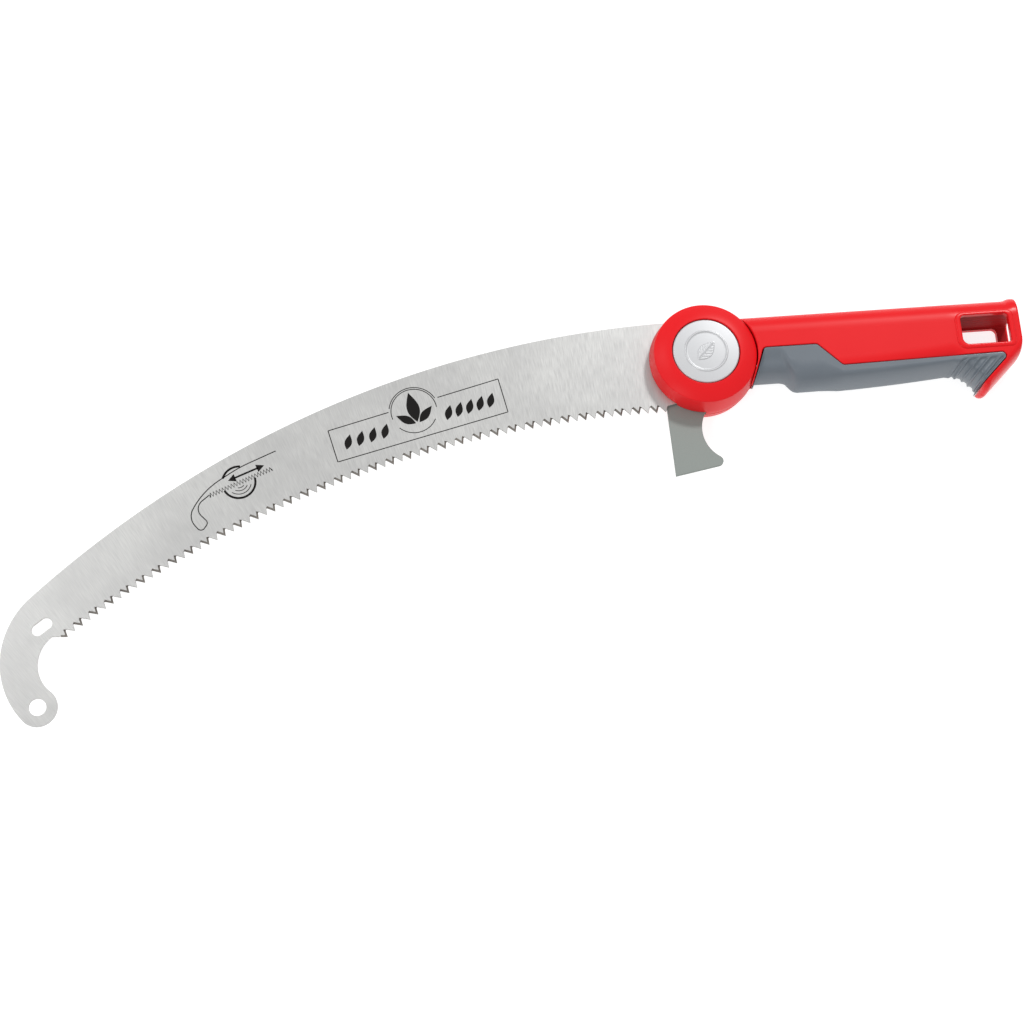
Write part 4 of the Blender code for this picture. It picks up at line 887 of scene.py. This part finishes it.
# ---- handle ----------------------------------------------------------------------------------
def split_path():
    """The line between grey and red: up the tail's inner side, along the handle, down at the hub."""
    run = polar((0, 0), 1.0, TAIL_SLOPE)
    foot = TAIL_END + polar((0, 0), TAIL_HALF, TAIL_SLOPE + 90)
    right = foot + run * (SPLIT_LOW + 1.6 - foot[1]) / run[1]
    left = HUB_RADIUS + 2.3
    points = [
        foot,
        right,
        (HUB_RADIUS + 48.3, SPLIT_LOW),
        (HUB_RADIUS + 34.3, SPLIT_HIGH),
        (left, SPLIT_HIGH),
        (left - 9.0, NECK_Y - 6.0),
    ]
    return rounded_path(points, [2.5, 3.0, 3.0, 3.0], 13)


def split_parts(offset):
    """The split line moved by an offset and parted in the middle of its first and last corner."""
    path = moved_out(split_path(), offset)
    first, last = 1 + 6, len(path) - 2 - 6
    return path[: first + 1], path[first : last + 1], path[last:]


def bottom_at(x):
    """Underside: neck, belly, waist and then the straight outer edge and heel of the tail."""
    x = np.asarray(x, float)
    slope = math.radians(TAIL_SLOPE)
    neck = NECK_Y + (BELLY_Y - NECK_Y) * smooth((x - NECK_X) / (BELLY_X - NECK_X))
    share = np.clip((x - BELLY_X) / (WAIST_X - BELLY_X), 0, 1)
    belly = BELLY_Y + (WAIST_Y - BELLY_Y) * share**2
    left = TAIL_END[0] - TAIL_HALF
    wedge_share = np.clip((x - WAIST_X) / (left - WAIST_X), 0, 1)
    wedge = WAIST_Y + (TAIL_END[1] + 2.0 - WAIST_Y) * wedge_share**1.3
    tip = TAIL_END[1] - np.sqrt(np.maximum(TAIL_HALF**2 - (x - TAIL_END[0]) ** 2, 0))
    edge = TAIL_END[1] - TAIL_HALF / math.cos(slope) + (x - TAIL_END[0]) * math.tan(slope)
    heel_x = END_X - HEEL_RADIUS
    heel = heel_y() - np.sqrt(np.maximum(HEEL_RADIUS**2 - (x - heel_x) ** 2, 0))
    return np.select(
        [
            x <= BELLY_X, x <= WAIST_X, x < left, x < TAIL_END[0] + TAIL_HALF * math.sin(slope),
            x < heel_x + HEEL_RADIUS * math.sin(slope),
        ],
        [neck, belly, wedge, tip, edge], heel,
    )


def heel_y():
    """Height of the middle of the tail's heel."""
    slope = math.radians(TAIL_SLOPE)
    edge = TAIL_END[1] - TAIL_HALF / math.cos(slope)
    edge += (END_X - HEEL_RADIUS - TAIL_END[0]) * math.tan(slope)
    return edge + HEEL_RADIUS / math.cos(slope)


def top_at(x):
    """Upper side, with the raised lip at the open end."""
    return TOP_Y + LIP_RISE * smooth((np.asarray(x) - LIP_START) / 4.0)


def half_thickness(x, y):
    """Half thickness of the handle: full on the flat side, a superellipse in the two crowns."""
    up = np.clip((y - (top_at(x) - TOP_CROWN)) / TOP_CROWN, 0, 1)
    tail = smooth((x - WAIST_X) / (TAIL_END[0] - WAIST_X))
    crown = LOW_CROWN + (TAIL_CROWN - LOW_CROWN) * tail
    down = np.clip((bottom_at(x) + crown - y) / crown, 0, 1)
    return MID_Z * ((1 - up**POWER) * (1 - down**POWER)) ** (1 / POWER)


def edge_fall(distance, radius):
    """How far a rounded edge of that radius falls at a distance from it."""
    short = np.clip(radius - distance, 0, radius)
    return radius - np.sqrt(radius**2 - short**2)


def red_height(x, y, edge):
    """Height of the front red surface: half thickness less the rounding along its edges."""
    fall = edge_fall(distance_to(edge, x, y), SEAM_ROUND) + edge_fall(END_X - x, END_ROUND)
    return MID_Z + np.maximum(half_thickness(x, y) - fall, PARTING)


def crown_share(angle):
    """Where a superellipse crown's surface stands at an angle: 1 at its foot and 0 at its edge."""
    return 1 - np.sin(angle) ** (2 / POWER)


def share_rows(count_crown=13, count_flat=16):
    """Row places: crown rows as a superellipse's angles, then even rows, then the seam's rounding."""
    angle = np.linspace(math.pi / 2, 0, count_crown)
    crown = crown_share(angle)
    flat = np.linspace(0, 1, count_flat)[1:]
    seam = np.array([0.62, 0.45, 0.28, 0.14, 0.05, 0.0])
    return crown, flat, seam


def red_skin(seat_radius):
    """Front half of the red body, as grids that meet at shared rows and columns.

    Columns go from the hub's seat to the corner of the grey, along it, and on to the open end.
    Rows go from the parting line over the top and down to the seam. Each point's height is the half
    thickness there, less the rounding at the seam, the seat and the end. Walls go down to the parting
    plane along every border that another grid doesn't join."""
    inner, top_edge, left = split_parts(SEAM)
    edge = np.concatenate([inner, top_edge[1:], left[1:]])
    knee, corner = top_edge[-1], top_edge[0]
    lower_x, lower_y = top_edge[::-1].T
    crown, flat, seam = share_rows()

    def seat_x(y):
        """Where the skin meets the hub: on the seat's circle at the skin's own height."""
        half = half_thickness(np.full_like(y, NECK_X - 8.0), y)
        wide = seat_radius(MID_Z + half)
        return np.sqrt(np.maximum(wide**2 - y**2, 1.0))

    near, far = NEAR_HUB, TO_END
    middle = along(top_edge[::-1], 230)[:, 0]
    middle[0], middle[-1] = knee[0], corner[0]
    last = corner[0] + (END_X - corner[0]) * far[1:]
    xs = np.concatenate([np.full(len(near), knee[0]), middle, last])
    low = np.interp(xs, lower_x, lower_y)
    past = (xs - corner[0]) / (END_X - corner[0])
    low = np.where(xs > corner[0], corner[1] + (heel_y() - corner[1]) * past, low)
    rising = np.maximum.accumulate(xs + 1e-6 * np.arange(len(xs)))
    slope = np.hypot(1.0, np.clip(np.gradient(low, rising), -STEEPEST, STEEPEST))
    top = top_at(xs)
    rows = [top - TOP_CROWN * c for c in crown]
    start, stop = top - TOP_CROWN, low + 0.8 * slope
    rows += [start + (stop - start) * f for f in flat]
    rows += [low + e * slope for e in seam]
    y = np.array(rows)
    x = np.broadcast_to(xs, y.shape).copy()
    first = seat_x(y[:, : len(near)])
    x[:, : len(near)] = first + near * (knee[0] - first)
    z = red_height(x, y, edge)
    floor = MID_Z + PARTING
    at_seat = np.s_[:, : len(near) + 8]
    fall = edge_fall(np.abs(x[at_seat] - seat_x(y[at_seat])), SEAM_ROUND)
    z[at_seat] -= np.minimum(fall, z[at_seat] - MID_Z - PARTING)
    z[0] = floor
    body = np.stack([x, y, z], -1)

    def dropped(line):
        """The same line lowered to the parting plane."""
        line = line.copy()
        line[:, 2] = floor
        return line

    def seated(line):
        """The same line lowered to the parting plane, on the seat's circle there."""
        line = dropped(line)
        wide = seat_radius(np.full(len(line), floor))
        line[:, 0] = np.sqrt(np.maximum(wide**2 - line[:, 1] ** 2, 1.0))
        return line

    seam_wall = np.array([body[-1], dropped(body[-1])])
    keep = np.zeros((1, len(xs) - 1), bool)
    keep[0, len(near) : len(near) + len(middle) - 1] = True
    seat_wall = np.stack([seated(body[:, 0]), body[:, 0]], 1)
    end_wall = np.stack([body[:, -1], dropped(body[:, -1])], 1)
    skins = [grid(body), grid(seam_wall, keep), grid(seat_wall), grid(end_wall)]

    # The strip between the hub's seat and the grey, down to the underside of the neck.
    neck_angle = np.linspace(0, math.pi / 2, 14)
    bottom = NECK_Y + 0.02
    crown_y = bottom + LOW_CROWN * crown_share(neck_angle)
    strip_y = np.concatenate([np.linspace(knee[1], crown_y[0], 10)[:-1], crown_y])
    left_x = np.interp(-strip_y, -left[:, 1], left[:, 0])
    share = np.append(near, 1.0)
    y = np.repeat(strip_y[:, None], len(share), 1)
    first = seat_x(y)
    x = first + share * (left_x[:, None] - first)
    z = red_height(x, y, edge) - edge_fall(x - first, SEAM_ROUND)
    strip = np.stack([x, y, np.maximum(z, floor)], -1)
    strip[0] = body[-1, : len(share)]
    skins += [grid(strip), grid(np.stack([seated(strip[:, 0]), strip[:, 0]], 1))]
    skins.append(grid(np.stack([strip[:, -1], dropped(strip[:, -1])], 1)))

    # The tail: each row joins a point of its inner side to one of its outer side.
    count = 44
    back = inner[::-1]
    inner_side = along(back, count)
    heel = arc((END_X - HEEL_RADIUS, heel_y()), HEEL_RADIUS, 0, TAIL_SLOPE - 90, 14)
    outer = TAIL_END - polar((0, 0), TAIL_HALF, TAIL_SLOPE + 90)
    outer_side = along(np.concatenate([heel, outer[None]]), count)
    turn = np.linspace(0, 90, 12)[1:]
    tip_in = polar(TAIL_END, TAIL_HALF - SEAM, TAIL_SLOPE + 90 + turn)
    tip_out = polar(TAIL_END, TAIL_HALF, TAIL_SLOPE - 90 - turn)
    tip_in[-1] = tip_out[-1]
    inner_side = np.concatenate([inner_side, tip_in])
    outer_side = np.concatenate([outer_side, tip_out])
    line = inner_side[:, None] + far[None, :, None] * (outer_side - inner_side)[:, None]
    x, y = line[..., 0], line[..., 1]
    height = red_height(x, y, np.concatenate([edge[::-1], tip_in]))
    tail = np.stack([x, y, np.maximum(height, floor)], -1)
    tail[0] = body[-1, len(near) + len(middle) - 1 :]
    tail[:, -1, 2] = floor
    tail[0, -1] = body[-1, -1]
    skins += [grid(tail), grid(np.stack([dropped(tail[:, 0]), tail[:, 0]], 1))]
    return skins


def rear_of(skins):
    """The same skins turned to the rear of the handle."""
    return [(points * (1, 1, -1) + (0, 0, THICKNESS), faces) for points, faces in skins]


def rounded_rectangle(x, y, radii, count=9):
    """Closed outline, anticlockwise from the lower left corner."""
    corners = [(x[0], y[0]), (x[1], y[0]), (x[1], y[1]), (x[0], y[1])]
    made = []
    for i, (corner, radius) in enumerate(zip(corners, radii)):
        path = [corners[i - 1], corner, corners[(i + 1) % 4]]
        made.append(rounded_path(path, [radius], count)[1:-1])
    return np.concatenate(made)


def socket_cutter(name):
    """The pole's way in: a rounded box that opens a little at the mouth."""
    low, high = SOCKET_WALL, THICKNESS - SOCKET_WALL
    rings = []
    for x, grow in ((SOCKET_X, 0.0), *((END_X + past, grow) for past, grow in SOCKET_MOUTH)):
        outline = rounded_rectangle(
            (SOCKET_Y[0] - grow, SOCKET_Y[1] + grow), (low - grow, high + grow), [SOCKET_CORNER + grow] * 4
        )
        rings.append(np.column_stack([np.full(len(outline), x), outline]))
    return solid(name, [grid(np.array(rings), wrap_columns=True)])


def window_cutter(name, low, high):
    """The catch window's rounded rectangle carried between two heights."""
    return prism(name, rounded_rectangle(WINDOW_X, WINDOW_Y, WINDOW_CORNERS), low, high)


def make_handle(looks):
    """Both red shells: the moulded skin less its socket, window, hub seat and screw wells."""
    seat = hub_radius_at(SHOULDER_Z) + SEAT_GAP
    wide = HUB_RADIUS + SEAT_GAP

    def front_seat(z):
        """The seat's radius: wide at the blade and narrower at the hub's shoulder."""
        return np.interp(z, [BLADE_FRONT, SHOULDER_Z], [wide, float(seat)])

    front = solid("front_red_shell", red_skin(front_seat))
    combine(front, socket_cutter("front_socket"))
    combine(front, window_cutter("front_window", MID_Z, THICKNESS + 5))
    # The pole's way in takes the red with painted shade.
    mark_core(front)
    finish_piece(front, "handle", [looks["red"], looks["core"]], ["front_handle_shell"], 28.0)

    rear = solid("rear_red_shell", rear_of(red_skin(lambda z: 0 * z + HUB_RADIUS - 1.4)))
    room = turned("head_room", [(ON_AXIS, DISC_TOP), (wide, DISC_TOP), (wide, CLEAR_Z), (ON_AXIS, CLEAR_Z)])
    combine(rear, room)
    combine(rear, rear_disc(), "UNION")
    combine(rear, socket_cutter("rear_socket"))
    combine(rear, window_cutter("rear_window", -5, MID_Z))
    for number in range(1, 5):
        low, high = cad(f"handle_screw_{number}")
        spot = (low[:2] + high[:2]) / 2
        well = arc(spot, (high[0] - low[0]) / 2 + 0.3, 0, 345, 24)
        combine(rear, prism(f"screw_well_{number}", well, -1.0, low[2] + 1.5))
    # The pole's way in takes the red with painted shade.
    mark_core(rear)
    finish_piece(rear, "handle", [looks["red"], looks["core"]], ["rear_handle_shell"], 28.0)


def mark_core(shell):
    """Gives the second material, the red painted darker for shade, to every face whose middle lies on or in
    the pole's way in.
    """
    polygons = shell.data.polygons
    middle = np.empty(len(polygons) * 3)
    polygons.foreach_get("center", middle)
    middle = middle.reshape(-1, 3) / MM
    low = (SOCKET_X - 0.1, SOCKET_Y[0] - 0.1, SOCKET_WALL - 0.1)
    high = (END_X - 1.0, SOCKET_Y[1] + 0.1, THICKNESS - SOCKET_WALL + 0.1)
    inside = ((middle > low) & (middle < high)).all(1)
    polygons.foreach_set("material_index", inside.astype(np.int32))


def rear_disc():
    """The round rear half of the hub, turned from its outer wall, rounded edge and pocket."""
    wall = HUB_RADIUS - HUB_WALL
    foot = float(hub_radius_at(DISC_EDGE))
    edge = rounded_path([(ON_AXIS, 0.0), (foot - 0.1, 0.0), (HUB_RADIUS, DISC_TOP)], [DISC_EDGE], 9)
    profile = [
        *map(tuple, edge),
        (wall, DISC_TOP),
        (wall - HUB_DRAFT, DISC_FLOOR),
        (RING_WALL, DISC_FLOOR),
        (RING_WALL, RING_TOP),
        (RING_BORE, RING_TOP),
        (RING_BORE, RING_SEAT),
        (RING_SEAT_BORE, RING_SEAT),
        (RING_SEAT_BORE, DISC_FLOOR),
        (PIVOT_WALL, DISC_FLOOR),
        (PIVOT_WALL, PIVOT_TOP),
        (PIVOT_BORE, PIVOT_TOP),
        (PIVOT_BORE, PIVOT_FLOOR),
        (ON_AXIS, PIVOT_FLOOR),
    ]
    return turned("rear_disc", profile, 240)


def make_grip(looks):
    """The grey rubber: a closed tube of rows from the front seam under the handle to the rear one.

    Each column joins a point of the seam to one of the underside; its distance from the underside
    gives the rounding, and then the neck's hollow and the ribs are pushed in along the normals."""
    inner, top_edge, left = split_parts(-SEAM)
    edge = np.concatenate([inner, top_edge[1:], left[1:]])
    knee = top_edge[-1]
    tip = inner[0] + TIP_SHIFT
    top_line = along(top_edge[::-1], 700)
    waist = int(np.searchsorted(top_line[:, 0], WAIST_X + 1.0))
    straight = along(top_line[: waist + 1], 190)
    turn = along(np.concatenate([straight[-1:], top_line[waist + 1 :], inner[::-1][1:]]), 130)[1:]
    upper = np.concatenate([straight, turn])
    neck_x = float(np.interp(-NECK_Y, -left[:, 1], left[:, 0]))
    shift = (knee[0] - neck_x) * (1 - smooth((straight[:, 0] - knee[0]) / NECK_SPREAD))
    under_x = straight[:, 0] - shift
    wedge_x = np.linspace(under_x[-1], TAIL_END[0] - TAIL_HALF, 60)
    wedge = np.stack([wedge_x, bottom_at(wedge_x - 1e-6)], -1)
    wedge = wedge[wedge[:, 0] < tip[0]]
    wedge = along(np.concatenate([wedge, tip[None]]), 130)[1:]
    lower = np.concatenate([np.stack([under_x, bottom_at(under_x)], -1), wedge])
    lower[-1] = tip
    length = np.hypot(*(upper - lower).T)
    tail = smooth((lower[:, 0] - WAIST_X) / (tip[0] - WAIST_X))
    crown = np.minimum(LOW_CROWN + (TIP_CROWN - LOW_CROWN) * tail, 0.6 * length)
    angle = np.linspace(0, math.pi / 2, 18)
    low_rows = [crown * crown_share(a) for a in angle]
    seam_rows = [np.minimum(e, 0.2 * length) for e in (0.05, 0.14, 0.28, 0.45, 0.7)]
    inner_end, outer_end = low_rows[0], length - seam_rows[-1]
    flat_rows = [inner_end + (outer_end - inner_end) * f for f in np.linspace(1, 0, 26)[1:-1]]
    reach = [length, *(length - e for e in seam_rows), *flat_rows, *low_rows]
    reach = np.array(reach)
    share = reach / np.maximum(length, 1e-6)
    points = lower + share[..., None] * (upper - lower)
    x, y = points[..., 0], points[..., 1]
    rounding = (1 - (1 - np.clip(reach / crown, 0, 1)) ** POWER) ** (1 / POWER)
    fall = edge_fall(distance_to(edge, x, y), SEAM_ROUND)
    z = MID_Z * rounding - np.minimum(fall, MID_Z * rounding)
    z[-1] = 0.0
    front = np.stack([x, y, MID_Z + z], -1)
    rear = np.stack([x, y, MID_Z - z], -1)[:-1][::-1]
    skin = np.concatenate([front, rear])
    clear = smooth((distance_to(edge, skin[..., 0], skin[..., 1]) - RELIEF_EDGE[0]) / RELIEF_EDGE[1])
    skin = pushed_in(skin, clear * grip_relief(skin[..., 0], skin[..., 1]))
    grip = solid("soft_grey_grip", [grid(skin, wrap_rows=True)])
    return finish_piece(grip, "handle", [looks["grey"]], ["soft_grip"], 40.0)


def grip_relief(x, y):
    """Depth of the grip's hollows: the neck beside the hub, and the grooves between the ribs."""
    step_x = NECK_STEP_X - NECK_STEP_LEAN * (y + 2.6)
    neck = NECK_DIP * (1 - smooth((x - step_x) / NECK_STEP_WIDTH)) * smooth((0.5 - y) / 9)
    diagonal = (x - y) / math.sqrt(2)
    crest = 0.5 + 0.5 * np.cos(2 * math.pi * (diagonal - RIB_FIRST) / RIB_PITCH)
    first = RIB_FIRST - RIB_PITCH * 0.5
    last = RIB_FIRST + RIB_PITCH * (RIB_COUNT - 0.5)
    span = smooth((diagonal - first + 1) / 1.5) * smooth((last + 1 - diagonal) / 1.5)
    below = smooth((RIB_TOP - y) / 1.6)
    return neck + RIB_DEPTH * (1 - crest**RIB_SHARPNESS) * span * below


def pushed_in(points, depth):
    """A grid moved against its outward normals, which are found from its own differences."""
    down = np.gradient(points, axis=0)
    run = np.gradient(points, axis=1)
    normal = np.cross(down, run)
    normal /= np.maximum(np.linalg.norm(normal, axis=-1), 1e-9)[..., None]
    outward = np.where(((points[..., 2] - MID_Z) * normal[..., 2]).sum() < 0, -1, 1)
    return points - outward * normal * depth[..., None]


def make_window_frame(looks):
    """A raised band round the front window, from its edge outwards, over the handle's surface."""
    inside = rounded_rectangle(WINDOW_X, WINDOW_Y, WINDOW_CORNERS)
    outside = rounded_rectangle(FRAME_X, FRAME_Y, FRAME_CORNERS)
    rows = []
    for share, rise in FRAME_PROFILE:
        line = inside + (outside - inside) * share - (inside - inside.mean(0)) * FRAME_LAP
        height = MID_Z + half_thickness(line[:, 0], line[:, 1]) + rise * FRAME_RISE
        rows.append(np.column_stack([line, height]))
    frame_piece = solid("window_frame", [grid(np.array(rows), wrap_rows=True, wrap_columns=True)])
    return finish_piece(frame_piece, "handle", [looks["red"]])


def make_spring(looks):
    """A wire's circle carried up an even helix."""
    low, high = cad("return_spring")
    turn = np.linspace(0, 2 * math.pi * SPRING_TURNS, 36 * SPRING_TURNS + 1)[:, None]
    round_wire = np.linspace(0, 2 * math.pi, 12, endpoint=False)
    radius = high[0] - SPRING_WIRE / 2 + SPRING_WIRE / 2 * np.cos(round_wire)
    rise = (high[2] - low[2] - SPRING_WIRE) * turn / turn[-1]
    height = low[2] + SPRING_WIRE / 2 + rise + SPRING_WIRE / 2 * np.sin(round_wire)
    points = np.stack([radius * np.cos(turn), radius * np.sin(turn), height], -1)
    coil = solid("button_spring_coil", [grid(points, wrap_columns=True)])
    finish_piece(coil, "handle", [looks["spring_steel"]], ["return_spring"], 40.0)
    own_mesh(coil)


# ---- prints on the blade ---------------------------------------------------------------------
def make_prints(looks):
    """Generic marks in printing ink: a framed row of leaves, and a pictogram of a saw on a log."""
    corners = PRINT_CORNERS
    top = corners[0] + (corners[3] - corners[0]) * PRINT_OPENING
    skins = ribbon(framed(np.array([top[0], *corners, top[1]])), PRINT_LINE)
    run = (corners[2] - corners[1]) / np.hypot(*(corners[2] - corners[1]))
    up = np.array([-run[1], run[0]])
    heading = bearing((0, 0), run)
    for radius, start, stop in EMBLEM_RINGS:
        skins += ribbon(arc(EMBLEM_AT, radius, heading + start, heading + stop, 40), EMBLEM_LINE)
    for tilt, size in EMBLEM_LEAVES:
        foot = EMBLEM_AT - up * 8.5 + polar((0, 0), 1.4, heading + tilt)
        skins += blot(leaf(foot, size, size * 0.42, heading + tilt))
    length, width, tilt = SMALL_LEAF
    for place in SMALL_LEAVES:
        at = corners.mean(0) + run * (place - 2.2) - up * 4.6
        skins += blot(leaf(at, length, width, heading + tilt))
    skins += pictogram()
    prints = solid("blade_prints", skins)
    return finish_piece(prints, "head", [looks["ink"]])


def framed(corners):
    """Points along straight sides, close together at each corner so that it stays square."""
    shares = np.array([0.004, 0.3, 0.7, 0.996])[:, None]
    sides = zip(corners, corners[1:])
    return np.concatenate([start + (end - start) * shares for start, end in sides])


def pictogram():
    """A saw over the end of a log: its hooked outline, a zigzag of teeth, bark, rings, an arrow."""
    run, up = (polar((0, 0), 1.0, PICTOGRAM_TURN + square) for square in (0, 90))

    def at(*places):
        """Points given along and across the pictogram's saw."""
        places = np.array(places, float)
        return PICTOGRAM_AT + places[:, :1] * run + places[:, 1:] * up

    def log_line(radius, start, stop, count, width):
        """A line round the log's middle, between two directions seen from the saw."""
        return ribbon(
            arc(PICTOGRAM_AT, radius, PICTOGRAM_TURN + start, PICTOGRAM_TURN + stop, count), width
        )

    skins = ribbon(rounded_path(at(*PICTOGRAM_SAW), PICTOGRAM_ROUNDS), 0.6)
    count, step, height = PICTOGRAM_TEETH
    steps = np.arange(count)
    teeth = [PICTOGRAM_SAW[-1][0] + steps * step, -0.4 + np.where(steps % 2, height, -height)]
    skins += ribbon(at(*np.column_stack(teeth)), 0.85)
    for start, stop in BARK:
        skins += log_line(LOG_RADIUS, start, stop, 40, 1.3)
    for radius, trim in LOG_RINGS:
        skins += log_line(radius, 180 + trim, 360 - trim, 20, 0.45)
    left, right, level = ARROW
    length, half = ARROW_HEAD
    skins += ribbon(at((left - 0.7, level), (right + 0.7, level)), 1.1)
    for side, place in ((-1, left), (1, right)):
        point = (place + side * length, level)
        skins += blot(at(point, (place, level + side * half), (place, level - side * half)))
    return skins


# ---- what is kept from the CAD model ---------------------------------------------------------
def dress_nodes(looks):
    """The finishes of the CAD model's own parts."""
    kept = {
        "clamp_plate": "zinc", "lock_star": "zinc", "lock_ring": "zinc", "threaded_insert": "brass",
        "pivot_bush": "bronze", "wear_washer": "acetal",
        "pivot_bolt": "fastener", "pivot_washer": "fastener",
    }
    for name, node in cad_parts.items():
        look = kept.get(name, "fastener")
        node.data.materials.clear()
        node.data.materials.append(looks[look])


# ---- camera, floor and lights ----------------------------------------------------------------
def add_camera():
    """A camera over the flat-lying saw, a little towards the blade and the teeth."""
    lens = bpy.data.cameras.new("camera")
    lens.lens, lens.sensor_width = LENS, SENSOR
    lens.clip_start, lens.clip_end = 0.05, 20.0
    place, target = Vector(CAMERA_AT) * MM, Vector(CAMERA_AIM) * MM
    back = (place - target).normalized()
    right = Vector(CAMERA_UPRIGHT).cross(back).normalized()
    up = back.cross(right)
    camera = bpy.data.objects.new("camera", lens)
    camera.matrix_world = Matrix.Translation(place) @ Matrix((right, up, back)).transposed().to_4x4()
    bpy.context.scene.collection.objects.link(camera)
    bpy.context.scene.camera = camera


def add_light(name, place, target, size, watts):
    """A round soft light aimed at a point."""
    lamp = bpy.data.lights.new(name, "AREA")
    lamp.shape, lamp.size, lamp.energy = "DISK", size, watts
    light = bpy.data.objects.new(name, lamp)
    light.location = place
    light.rotation_euler = (Vector(place) - Vector(target)).to_track_quat("Z", "Y").to_euler()
    bpy.context.scene.collection.objects.link(light)


def add_studio(looks):
    """A lit white table, an even white surround and three soft lights."""
    corners = np.array([(-1, -1), (1, -1), (1, 1), (-1, 1)]) * FLOOR_HALF
    points = np.column_stack([corners, np.full(4, FLOOR_Z)])
    mesh = raw_mesh("studio_floor", [(points, np.array([[0, 1, 2, 3]]))])
    floor = bpy.data.objects.new("studio_floor", mesh)
    bpy.context.scene.collection.objects.link(floor)
    mesh.materials.append(looks["floor"])
    world = bpy.data.worlds.new("studio")
    bpy.context.scene.world = world
    world.use_nodes = True
    background = world.node_tree.nodes["Background"]
    background.inputs["Color"].default_value = colour("#FFFFFF")
    background.inputs["Strength"].default_value = SURROUND
    for name, (place, size, watts) in LAMPS.items():
        add_light(name, place, LAMPS_AIM, size, watts)
    bpy.context.scene.view_settings.view_transform = "Standard"


def main():
    """The camera first, then every piece, then the studio."""
    add_camera()
    looks = make_looks()
    dress_nodes(looks)
    make_blade(looks)
    make_prints(looks)
    make_knife(looks)
    make_head_cover(looks)
    make_button(looks)
    make_handle(looks)
    make_grip(looks)
    make_window_frame(looks)
    make_spring(looks)
    add_studio(looks)


main()
